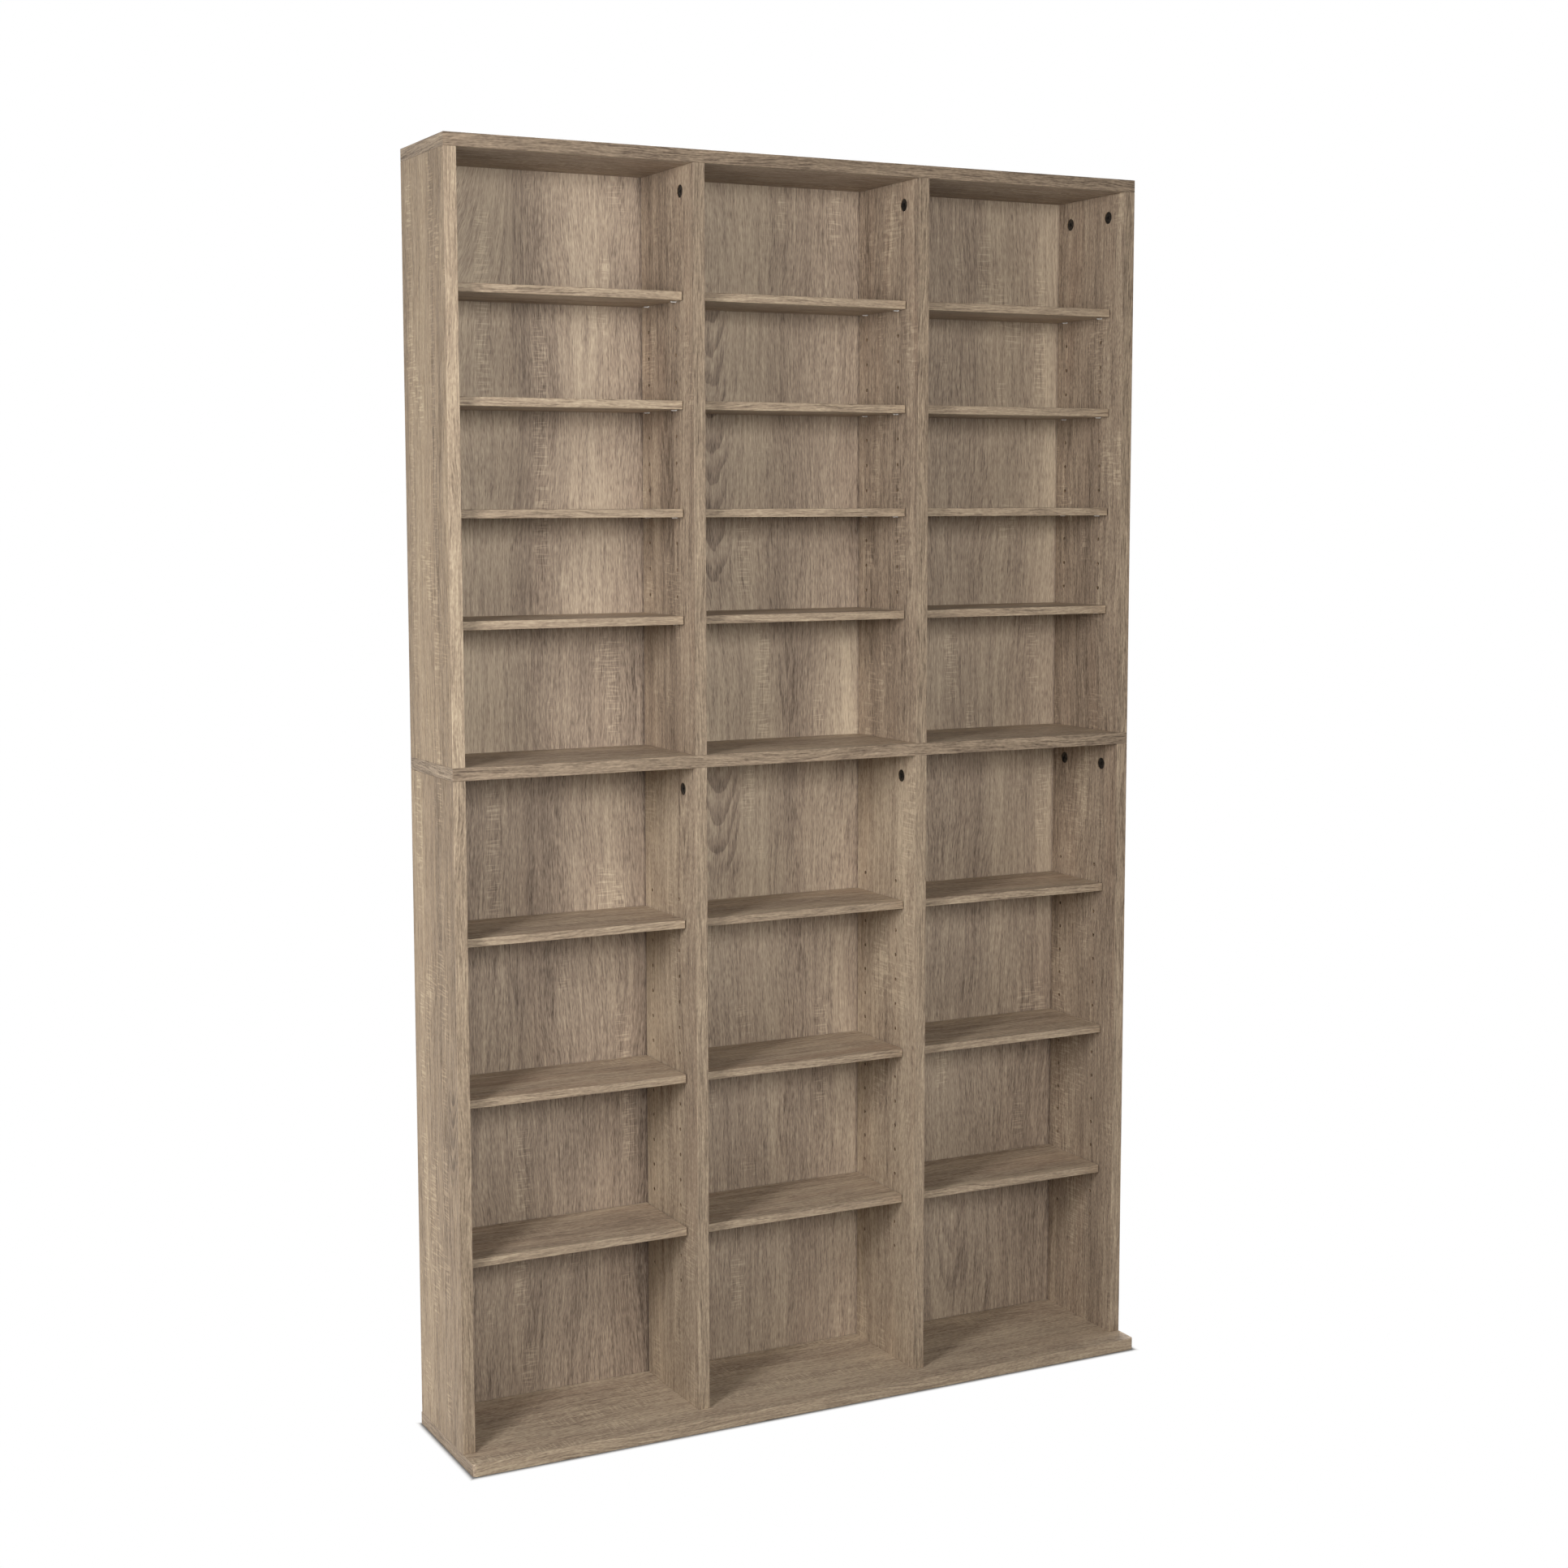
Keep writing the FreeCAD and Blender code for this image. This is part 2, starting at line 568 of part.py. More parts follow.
def make_pins():
    """Four pins under each shelf, in a group for each bay of each storey."""
    master = pin_master()
    front = f"({UPRIGHT_FRONT} + Sizes.pin_front_inset)"
    back = f"({front} + {PIN_ROW_SPACING})"
    for storey_name, storey in STOREYS.items():
        for bay_index, bay in enumerate(BAYS):
            left = f"({upright_left(bay_index)} + Sizes.board_thickness)"
            right = upright_left(bay_index + 1)
            places = []
            for hole in storey["shelf_holes"]:
                height = hole_height(storey, hole)
                for along_y in (front, back):
                    places.append((left, along_y, height, 0))
                    places.append((right, along_y, height, 180))
            group(f"{storey_name}_{bay}_shelf_pins", master, places)


def make_joint_fasteners():
    """Cams, bolts, dowels and screws of every joint, in a group of each kind for each storey."""
    masters = {"cam": cam_master(), "bolt": bolt_master(), "dowel": dowel_master(), "screw": screw_master()}
    front_cam = f"({UPRIGHT_FRONT} + Sizes.cam_front_inset)"
    back_cam = f"({front_cam} + {CAM_SPACING})"
    side_dowel = f"({UPRIGHT_FRONT} + {SIDE_DOWEL_INSET})"
    divider_dowel = f"({UPRIGHT_FRONT} + {DIVIDER_DOWEL_INSET})"
    front_screw = f"({UPRIGHT_FRONT} + Sizes.screw_front_inset)"
    back_screw = f"({front_screw} + {SCREW_SPACING})"
    for storey_name, storey in STOREYS.items():
        joint = f"({storey['foot']} + {storey['height']})"
        axis = f"({joint} - Sizes.cam_distance)"
        cams, bolts, dowels, screws = [], [], [], []
        for index in range(len(UPRIGHTS)):
            is_side = index in (0, len(UPRIGHTS) - 1)
            middle = f"({upright_left(index)} + {MID_BOARD})"
            face = f"({upright_left(index)} + Sizes.board_thickness)" if index == 0 else upright_left(index)
            turn = 0 if index == 0 else 180
            for along_y in (front_cam, back_cam) if is_side else (front_cam,):
                cams.append((face, along_y, axis, turn))
                bolts.append((middle, along_y, axis, 0))
            dowels.append((middle, side_dowel if is_side else divider_dowel, joint, 0))
            for along_y in (front_screw, back_screw):
                screws.append((middle, along_y, f"({storey['foot']} - Sizes.board_thickness)", 0))
        group(f"{storey_name}_cam_locks", masters["cam"], cams)
        group(f"{storey_name}_cam_bolts", masters["bolt"], bolts)
        group(f"{storey_name}_dowels", masters["dowel"], dowels)
        group(f"{storey_name}_screws", masters["screw"], screws)


def check_document():
    """Stop if any object failed or any piece has no sound shape."""
    for thing in doc.Objects:
        if "Invalid" in thing.State or "Error" in thing.State:
            raise RuntimeError(f"{thing.Label} failed: {thing.State}")
    for piece in pieces:
        if piece.Shape.isNull() or not piece.Shape.isValid() or not piece.Shape.Solids:
            raise RuntimeError(f"{piece.Label} has no sound solid")


def write_pieces():
    """Write each piece under its own name."""
    os.makedirs("parts", exist_ok=True)
    for piece in pieces:
        piece.Shape.exportStep(f"parts/{piece.Label}.step")


make_base()
make_middle()
make_top()
for storey_name in STOREYS:
    for index in range(len(UPRIGHTS)):
        make_upright(storey_name, index)
make_back_sheets()
make_shelves()
make_pins()
make_joint_fasteners()
doc.recompute()
check_document()
write_pieces()
print(f"{len(pieces)} pieces written")
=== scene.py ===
"""Media shelf: the looks of an open cabinet of three bays in two storeys.

Printed oak boards with banded edges, drilled rows of pin holes, steel shelf pins, cam locks,
dowels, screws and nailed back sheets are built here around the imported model, in metres.
"""

import logging
import math
from collections.abc import Callable
from dataclasses import dataclass, field, replace
from enum import Enum
from typing import Any

import bmesh
import bpy
from mathutils import Matrix, Vector


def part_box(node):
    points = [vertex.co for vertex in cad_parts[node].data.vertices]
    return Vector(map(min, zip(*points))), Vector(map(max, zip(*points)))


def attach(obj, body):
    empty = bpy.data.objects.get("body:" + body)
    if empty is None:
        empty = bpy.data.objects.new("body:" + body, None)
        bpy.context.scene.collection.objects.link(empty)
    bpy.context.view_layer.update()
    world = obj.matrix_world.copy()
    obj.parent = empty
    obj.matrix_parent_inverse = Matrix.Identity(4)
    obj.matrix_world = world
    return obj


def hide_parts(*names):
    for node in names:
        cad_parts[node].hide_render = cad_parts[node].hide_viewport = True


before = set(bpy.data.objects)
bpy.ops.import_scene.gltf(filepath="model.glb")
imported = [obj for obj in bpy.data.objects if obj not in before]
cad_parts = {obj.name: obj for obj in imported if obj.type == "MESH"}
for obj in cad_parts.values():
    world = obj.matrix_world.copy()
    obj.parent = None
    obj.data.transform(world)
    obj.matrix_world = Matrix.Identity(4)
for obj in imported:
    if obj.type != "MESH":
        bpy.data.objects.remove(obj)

LOG = logging.getLogger("media_shelf")
CARCASS = "carcass"
STOREYS = ("lower", "upper")
BAYS = ("left", "middle", "right")
UPRIGHTS = ("left_side", "left_divider", "right_divider", "right_side")

Triple = tuple[float, float, float]
Colour = tuple[float, float, float, float]
Pair = tuple[float, float]
Steps = tuple[Pair, ...]
Places = list[tuple[Vector, float]]
Inputs = dict[str | int, Any]
Socket = bpy.types.NodeSocket
Material = bpy.types.Material
Thing = bpy.types.Object
Shape = bmesh.types.BMesh

# Features per metre across the grain, into the board and along the grain, for each part of the oak print
GRAIN: dict[str, Triple] = {
    "wander": (7, 7, 2.6), "waver": (60, 60, 20), "sway": (9, 9, 9), "ragged": (70, 70, 40),
    "bands": (21, 21, 0.7), "clouds": (15, 15, 12), "streaks": (75, 75, 1.6), "lines": (230, 230, 7),
    "fine_lines": (620, 620, 24), "patches": (34, 34, 3), "flecks": (38, 38, 380),
    "fleck_groups": (16, 16, 7), "breaks": (0, 0, 9), "blush": (22, 22, 3)}


def tint(red: int, green: int, blue: int) -> Colour:
    """Turn a colour as it looks, 0 to 255, into the linear one that shaders take.

    Args:
        red: Red part.
        green: Green part.
        blue: Blue part.

    Returns:
        The linear colour with full alpha.
    """
    def linear(part: int) -> float:
        """One part of the colour."""
        share = part / 255
        return share / 12.92 if share <= 0.04045 else ((share + 0.055) / 1.055) ** 2.4

    return (linear(red), linear(green), linear(blue), 1.0)


class Graph:
    """A node tree under construction, for a material or for geometry."""

    def __init__(self, tree: bpy.types.NodeTree) -> None:
        """Start on an emptied tree."""
        self.tree = tree
        tree.nodes.clear()

    def add(self, kind: str, inputs: Inputs | None = None, **settings: Any) -> bpy.types.Node:
        """Add a node, set it up and fill or link its inputs.

        Args:
            kind: The node's type.
            inputs: Values or output sockets, by input name or number.
            **settings: Properties of the node.

        Returns:
            The new node.
        """
        node = self.tree.nodes.new(kind)
        for name, value in settings.items():
            setattr(node, name, value)
        for key, value in (inputs or {}).items():
            if isinstance(value, Socket):
                self.tree.links.new(value, node.inputs[key])
            else:
                node.inputs[key].default_value = value
        return node

    def out(self, kind: str, inputs: Inputs | None = None, **settings: Any) -> Socket:
        """Add a node, and give its first output."""
        return self.add(kind, inputs, **settings).outputs[0]

    def math(self, operation: str, *values: Any) -> Socket:
        """Work out one number from others."""
        return self.out("ShaderNodeMath", dict(enumerate(values)), operation=operation)

    def times(self, first: Any, second: Any) -> Socket:
        """Multiply two numbers."""
        return self.math("MULTIPLY", first, second)

    def minus(self, first: Any, second: Any) -> Socket:
        """Take the second number from the first."""
        return self.math("SUBTRACT", first, second)

    def away(self, value: Any, place: Any) -> Socket:
        """Distance from a place."""
        return self.math("ABSOLUTE", self.minus(value, place))

    def vector_math(self, operation: str, first: Any, second: Any) -> Socket:
        """Work out a vector from two others."""
        return self.out("ShaderNodeVectorMath", {0: first, 1: second}, operation=operation)

    def spread(self, value: Any, low: float, high: float, to_low: float = 0.0,
               to_high: float = 1.0) -> Socket:
        """Map a number smoothly from the range low to high to another range, and hold it there."""
        return self.out("ShaderNodeMapRange", {0: value, 1: low, 2: high, 3: to_low, 4: to_high},
                        interpolation_type="SMOOTHSTEP")

    def window(self, value: Any, low: float, high: float, inside: float, outside: float = 0.02) -> Socket:
        """1 from low to high, fading to 0 from a little inside these places to a little outside."""
        return self.times(self.spread(value, low - outside, low + inside),
                          self.spread(value, high + outside, high - inside))


class Paint(Graph):
    """The node tree of a material, with the textures that its finish needs."""

    def __init__(self, name: str) -> None:
        """Start a material.

        Args:
            name: The material's name.
        """
        self.material = bpy.data.materials.new(name)
        self.material.use_nodes = True
        super().__init__(self.material.node_tree)
        self.place = self.add("ShaderNodeTexCoord").outputs["Object"]

    def scaled(self, vector: Any, size: Triple) -> Socket:
        """Stretch a vector by three factors."""
        return self.vector_math("MULTIPLY", vector, size)

    def noise(self, vector: Any, size: Triple, detail: float = 1.0) -> Socket:
        """A noise of 0 to 1, from its features per metre along each axis and its octaves."""
        place = self.scaled(vector, size)
        return self.out("ShaderNodeTexNoise", {"Vector": place, "Scale": 1.0, "Detail": detail})

    def unrest(self, vector: Any, size: Triple) -> Socket:
        """A noise of -0.5 to 0.5."""
        return self.minus(self.noise(vector, size), 0.5)

    def ramp(self, value: Any, stops: tuple[tuple[float, Colour], ...]) -> Socket:
        """Colours along a number.

        Args:
            value: The number's socket.
            stops: Places from 0 to 1 with their colours.

        Returns:
            The colour's socket.
        """
        node = self.add("ShaderNodeValToRGB", {0: value})
        elements = node.color_ramp.elements
        while len(elements) < len(stops):
            elements.new(0.5)
        for element, (place, shade) in zip(elements, stops):
            element.position = place
            element.color = shade
        return node.outputs[0]

    def spread_line(self, value: Any, low: float, high: float) -> Socket:
        """Share of the straight way from low to high."""
        return self.out("ShaderNodeMapRange", {0: value, 1: low, 2: high})

    def blend(self, share: Any, first: Any, second: Any) -> Socket:
        """Mix two colours."""
        return self.add("ShaderNodeMix", {0: share, 6: first, 7: second}, data_type="RGBA").outputs[2]

    def finish(self, shade: Any, rough: Any, metal: float = 0.0, height: Any = None,
               depth: float = 0.0001, gloss: float = 0.5) -> Material:
        """Close the tree with its surface.

        Args:
            shade: Colour or its socket.
            rough: Roughness or its socket.
            metal: Share of metal.
            height: Socket of a relief, or None.
            depth: Depth of the relief in metres.
            gloss: Level of the plain reflection.

        Returns:
            The finished material.
        """
        surface = self.add("ShaderNodeBsdfPrincipled", {"Base Color": shade, "Roughness": rough,
                                                        "Metallic": metal, "Specular IOR Level": gloss})
        if height is not None:
            relief = self.add("ShaderNodeBump", {"Height": height, "Distance": depth, "Strength": 0.6})
            self.tree.links.new(relief.outputs[0], surface.inputs["Normal"])
        self.add("ShaderNodeOutputMaterial", {"Surface": surface.outputs[0]})
        return self.material


class Lay(Enum):
    """How the print lies on a face: which axes run across it, into it and along its grain."""

    UPRIGHT = (1, 0, 2)
    BACK = (0, 1, 2)
    LEVEL = (1, 2, 0)
    LEVEL_EDGE = (2, 1, 0)
    END = (2, 0, 1)


@dataclass(frozen=True)
class Figure:
    """A stack of nested arches or flames in the print, open towards the top.

    Its centre is a place across the board, low and high are heights, and all lengths are in metres.
    """

    centre: float
    low: float
    high: float
    width: float = 0.017
    pitch: float = 0.047
    bow: float = 0.45
    power: float = 2.0
    strength: float = 0.30
    sway: float = 0.022
    ragged: float = 0.45
    ring_edges: Pair = (0.08, 0.10)
    ring_end: float = 0.80
    reach: Pair = (1.8, 0.9)

    def shade(self, paint: Paint, across: Any, along: Any, grain: Any) -> Socket:
        """How much darker the figure makes the print.

        Args:
            paint: The material's tree.
            across: Distance across the board.
            along: Distance along the grain.
            grain: Place in the wandering grain, for the figure's own unrest.

        Returns:
            The share to take from the tone.
        """
        sway = paint.unrest(grain, GRAIN["sway"])
        centred = paint.math("MULTIPLY_ADD", sway, self.sway, paint.minus(across, self.centre))
        wide = paint.math("DIVIDE", paint.math("ABSOLUTE", centred), self.width)
        bow = paint.times(paint.math("POWER", wide, self.power), self.bow)
        ragged = paint.times(paint.noise(grain, GRAIN["ragged"]), self.ragged)
        rise = paint.math("DIVIDE", along, self.pitch)
        ring = paint.math("FRACT", paint.math("ADD", paint.minus(rise, bow), ragged))
        lobe = paint.times(paint.spread(ring, 0.0, self.ring_edges[0]),
                           paint.spread(ring, self.ring_end, self.ring_edges[1]))
        near = paint.times(paint.spread(wide, *self.reach), paint.window(along, self.low, self.high, 0.02))
        return paint.times(paint.times(lobe, near), self.strength)


@dataclass(frozen=True)
class WideBands:
    """How pale the print is across a sheet, as shares of its width, at its head and at its foot.

    Between the two heights of rise, the foot's bands turn into the head's.
    """

    head: Steps
    foot: Steps
    rise: Pair
    contrast: float = 0.9

    def shade(self, paint: Paint, share: Any, along: Any) -> Socket:
        """How much paler or darker the bands make the print.

        Args:
            paint: The material's tree.
            share: Place across the sheet, as a share of its width.
            along: Height in the cabinet.

        Returns:
            The amount to add to the tone.
        """
        head, foot = (paint.ramp(share, tuple((place, (pale, pale, pale, 1.0)) for place, pale in steps))
                      for steps in (self.head, self.foot))
        mixed = paint.blend(paint.spread(along, *self.rise), foot, head)
        return paint.times(paint.minus(mixed, 0.5), self.contrast)


@dataclass(frozen=True)
class OakPrint:
    """A printed weathered-oak foil: bands, streaks, lines, pores, flecks, arched figures and painted corner
    shade.

    A fleck_at entry gives a group's place across the board and its lowest and highest height, and
    a slant gives the heights where the grain starts and stops to lean, and how far it leans.
    """

    lay: Lay
    seed: Triple = (0.0, 0.0, 0.0)
    tone: float = 0.0
    bands: float = 0.20
    clouds: float = 0.09
    streaks: float = 0.16
    lines: float = 0.17
    pores: float = 0.12
    pore_width: float = 0.0019
    pore_length: float = 0.030
    grit: float = 0.10
    grit_size: Triple = (540, 540, 150)
    flecks: float = 0.16
    fleck_rarity: float = 0.56
    fleck_at: tuple[Triple, ...] = ()
    # Places across the board where painted corner shade darkens the print, and how strongly
    painted_corner_shade: tuple[float, ...] = ()
    corner_shade_strength: float = 0.26
    slant: Triple | None = None
    figures: tuple[Figure, ...] = ()
    warmth: float = 0.35
    wide_bands: WideBands | None = None
    span: Pair = (0.0, 1.0)
    dark: Colour = tint(84, 71, 60)
    middle: Colour = tint(149, 131, 113)
    light: Colour = tint(201, 183, 157)
    blush: Colour = tint(184, 150, 124)
    wander: float = 0.05
    waver: float = 0.0040
    mean_tone: float = 0.60
    long_group: float = 0.5

    def grain_place(self, paint: Paint) -> tuple[Socket, Socket, Socket]:
        """Where a point lies in the print.

        Args:
            paint: The material's tree.

        Returns:
            Distance across the board, distance along it, and the wandering place in the grain.
        """
        parts = paint.add("ShaderNodeSeparateXYZ", {0: paint.place}).outputs
        across, into, along = (parts[axis] for axis in self.lay.value)
        still = paint.out("ShaderNodeCombineXYZ", {0: across, 1: into, 2: along})
        moved = paint.out("ShaderNodeMapping", {"Vector": still, "Location": self.seed})
        wander = paint.times(paint.unrest(moved, GRAIN["wander"]), self.wander)
        waver = paint.times(paint.unrest(moved, GRAIN["waver"]), self.waver)
        shift = paint.math("ADD", wander, waver)
        if self.slant:
            start, end, lean = self.slant
            edge = self.span[0]
            near = paint.spread(across, edge + 0.20, edge + 0.09)
            rise = paint.times(paint.spread_line(along, start, end), near)
            shift = paint.math("MULTIPLY_ADD", rise, -lean, shift)
        offset = paint.out("ShaderNodeCombineXYZ", {0: shift})
        return across, along, paint.vector_math("ADD", moved, offset)

    def fleck_share(self, paint: Paint, across: Any, along: Any, grain: Any) -> Socket:
        """How much the pale flecks show.

        Args:
            paint: The material's tree.
            across: Distance across the board.
            along: Distance along the grain.
            grain: Place in the wandering grain.

        Returns:
            Their share, 0 to 1.
        """
        mark = paint.spread(paint.noise(grain, GRAIN["flecks"], 0), 0.55, 0.63)
        groups = paint.noise(grain, GRAIN["fleck_groups"])
        where = paint.spread(groups, self.fleck_rarity, self.fleck_rarity + 0.10)
        for place, low, high in self.fleck_at:
            column = paint.times(paint.spread(paint.away(across, place), 0.016, 0.004),
                                 paint.window(along, low, high, 0.01))
            if high - low > self.long_group:
                breaks = paint.noise(grain, GRAIN["breaks"], 0)
                column = paint.times(column, paint.spread(breaks, 0.42, 0.56))
            where = paint.math("MAXIMUM", where, column)
        return paint.times(mark, where)

    def material(self, name: str) -> Material:
        """Make the foil's material.

        Args:
            name: The material's name.

        Returns:
            The material.
        """
        paint = Paint(name)
        across, along, grain = self.grain_place(paint)
        fine = (1 / self.pore_width, 1 / self.pore_width, 1 / self.pore_length)
        pore = paint.spread(paint.noise(grain, fine), 0.38, 0.52)
        tone: Any = self.mean_tone + self.tone
        layers = {"bands": self.bands, "clouds": self.clouds, "streaks": self.streaks, "lines": self.lines,
                  "fine_lines": self.lines * 1.4, "grit": self.grit}
        for kind, strength in layers.items():
            size = GRAIN.get(kind, self.grit_size)
            tone = paint.math("MULTIPLY_ADD", paint.unrest(grain, size), strength * 2, tone)
        if self.wide_bands:
            share = paint.spread_line(across, *self.span)
            tone = paint.math("ADD", self.wide_bands.shade(paint, share, along), tone)
        patchy = paint.spread(paint.noise(grain, GRAIN["patches"]), 0.30, 0.62, 0.5, 1.1)
        strength = paint.times(patchy, paint.spread(tone, 0.45, 0.75, 1.8, 0.4))
        tone = paint.math("MULTIPLY_ADD", paint.times(paint.minus(pore, 1.0), self.pores), strength, tone)
        if self.flecks:
            share = self.fleck_share(paint, across, along, grain)
            tone = paint.math("MULTIPLY_ADD", share, self.flecks, tone)
        for figure in self.figures:
            tone = paint.minus(tone, figure.shade(paint, across, along, grain))
        # Painted shade: a dark line within 5 mm of each given place, standing in for the shadow in the
        # corners where a back sheet meets the uprights
        for shade_line in self.painted_corner_shade:
            side = paint.away(across, shade_line)
            tone = paint.minus(tone, paint.spread(side, 0.0050, 0.0004, 0.0, self.corner_shade_strength))
        shade = paint.ramp(tone, ((0.0, self.dark), (0.5, self.middle), (1.0, self.light)))
        rosy = paint.spread(paint.noise(grain, GRAIN["blush"]), 0.50, 0.72, 0.0, self.warmth)
        shade = paint.blend(rosy, shade, paint.blend(0.5, shade, self.blush))
        rough = paint.spread(pore, 0.0, 1.0, 0.62, 0.50)
        return paint.finish(shade, rough, height=pore, depth=0.00006, gloss=0.28)


@dataclass(frozen=True)
class Metal:
    """A plated or cast metal with faint streaks and dull patches."""

    shade: Colour
    dull: Colour
    rough: float = 0.3
    mottle: float = 160.0
    share: float = 1.0

    def material(self, name: str) -> Material:
        """Make the metal's material.

        Args:
            name: The material's name.

        Returns:
            The material.
        """
        paint = Paint(name)
        patches = paint.noise(paint.place, (self.mottle,) * 3, 3)
        shade = paint.blend(paint.spread(patches, 0.35, 0.7), self.shade, self.dull)
        rough = paint.spread(patches, 0.3, 0.7, self.rough, self.rough + 0.15)
        grit = paint.noise(paint.place, (2500.0,) * 3)
        return paint.finish(shade, rough, metal=self.share, height=grit, depth=0.00002)


@dataclass(frozen=True)
class Fibre:
    """Pressed or chipped wood: the core of a bored board, or the bare rear of a back sheet."""

    pale: Colour
    deep: Colour
    chip: float = 0.0016
    rough: float = 0.85

    def material(self, name: str) -> Material:
        """Make the fibre's material.

        Args:
            name: The material's name.

        Returns:
            The material.
        """
        paint = Paint(name)
        place = paint.scaled(paint.place, (1 / self.chip,) * 3)
        cells = paint.add("ShaderNodeTexVoronoi", {"Vector": place, "Scale": 1.0}, feature="F1")
        parts = paint.out("ShaderNodeSeparateXYZ", {0: cells.outputs["Color"]})
        cloud = paint.noise(paint.place, (35.0,) * 3, 3)
        share = paint.math("MULTIPLY_ADD", parts, 0.55, paint.times(cloud, 0.5))
        shade = paint.ramp(share, ((0.15, self.deep), (0.85, self.pale)))
        return paint.finish(shade, self.rough, height=parts, depth=0.00015, gloss=0.2)


@dataclass(frozen=True)
class Beech:
    """Plain turned beech with short fine pores along its length."""

    shade: Colour = tint(205, 172, 132)
    pore: Colour = tint(158, 118, 80)

    def material(self, name: str) -> Material:
        """Make the beech's material.

        Args:
            name: The material's name.

        Returns:
            The material.
        """
        paint = Paint(name)
        flecks = paint.spread(paint.noise(paint.place, (1400.0, 1400.0, 220.0), 2), 0.45, 0.62)
        cloud = paint.spread(paint.noise(paint.place, (300.0, 300.0, 20.0), 2), 0.3, 0.7, 0.0, 0.4)
        shade = paint.blend(flecks, self.pore, paint.blend(cloud, self.shade, self.pore))
        return paint.finish(shade, 0.7, height=flecks, depth=0.00005, gloss=0.3)


def keep(mesh: bpy.types.Mesh, name: str) -> Thing:
    """Put a mesh in the scene as an object at the origin.

    Args:
        mesh: The mesh.
        name: Name of the mesh and of the object.

    Returns:
        The object.
    """
    mesh.name = name
    made = bpy.data.objects.new(name, mesh)
    bpy.context.scene.collection.objects.link(made)
    return made


def hand_over(piece: Thing, body: str, slot: str, *nodes: str) -> None:
    """Tie a finished piece to the frame and report it.

    Args:
        piece: The finished object.
        body: The body that it rides.
        slot: The record's material slot; not used.
        *nodes: The CAD nodes that it stands for.
    """
    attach(piece, body)
    if nodes:
        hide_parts(*nodes)
    LOG.info("%s: %d faces, rides %s", piece.name, len(piece.data.polygons), body)


def pairs(ring: list[Any]) -> list[tuple[Any, Any]]:
    """Each corner of a ring with the one after it."""
    return list(zip(ring, ring[1:] + ring[:1]))


@dataclass
class Turning:
    """A small round piece given by rings: place along its axis, radius, and top cut if flattened."""

    rings: Steps
    sides: int = 16
    flat_from: float | None = None
    flat_height: float = 0.0
    flutes: float = 0.0
    along_x: bool = True

    def point(self, place: float, radius: float, side: int) -> Vector:
        """One corner of a ring.

        Args:
            place: The ring's place along the axis.
            radius: Its radius.
            side: The corner's number.

        Returns:
            The corner.
        """
        turn = 2 * math.pi * (side + 0.5) / self.sides
        if self.flutes and side % 2:
            radius -= self.flutes
        level, height = radius * math.cos(turn), radius * math.sin(turn)
        if self.flat_from is not None and place >= self.flat_from:
            height = min(height, self.flat_height)
        return Vector((place, level, height)) if self.along_x else Vector((level, height, place))

    def build(self) -> Shape:
        """Make the closed shape.

        Returns:
            A new bmesh with outward faces.
        """
        shape = bmesh.new()
        loops = [[shape.verts.new(self.point(place, radius, side)) for side in range(self.sides)]
                 for place, radius in self.rings]
        for near, far in zip(loops, loops[1:]):
            for (one, other), (one_far, other_far) in zip(pairs(near), pairs(far)):
                shape.faces.new((one, other, other_far, one_far))
        shape.faces.new(loops[0])
        shape.faces.new(loops[-1])
        bmesh.ops.recalc_face_normals(shape, faces=shape.faces[:])
        return shape


def sink_cross(shape: Shape, centre: Vector, outward: Vector, arm: float, width: float, depth: float,
               taper: float = 0.86) -> None:
    """Sink a cross recess in the flat face that lies at a point.

    Args:
        shape: The turned piece.
        centre: Middle of the face.
        outward: The face's direction.
        arm: Half the length of the cross.
        width: Half the width of its arms.
        depth: How deep it goes.
        taper: Share of its size that is left at the bottom.
    """
    shape.faces.ensure_lookup_table()
    face = min(shape.faces, key=lambda one: (one.calc_center_median() - centre).length
               - one.normal.dot(outward))
    rim = face.verts[:]
    bmesh.ops.delete(shape, geom=[face], context="FACES_ONLY")
    side = outward.orthogonal().normalized()
    other = outward.cross(side)
    plan = ((arm, width), (width, width), (width, arm), (-width, arm), (-width, width), (-arm, width),
            (-arm, -width), (-width, -width), (-width, -arm), (width, -arm), (width, -width), (arm, -width))
    top = [shape.verts.new(centre + side * u + other * v) for u, v in plan]
    low = [shape.verts.new(centre + side * u * taper + other * v * taper - outward * depth) for u, v in plan]
    edges = [shape.edges.get(pair) for pair in pairs(rim)] + [shape.edges.new(pair) for pair in pairs(top)]
    bmesh.ops.triangle_fill(shape, use_beauty=True, edges=edges, normal=outward)
    for (one, after), (low_one, low_after) in zip(pairs(top), pairs(low)):
        shape.faces.new((one, after, low_after, low_one))
    shape.faces.new(low)
    bmesh.ops.recalc_face_normals(shape, faces=shape.faces[:])


def as_mesh(shape: Shape, name: str) -> bpy.types.Mesh:
    """Turn a bmesh into a mesh and free it.

    Args:
        shape: The bmesh.
        name: The mesh's name.

    Returns:
        The mesh.
    """
    mesh = bpy.data.meshes.new(name)
    shape.to_mesh(mesh)
    shape.free()
    return mesh


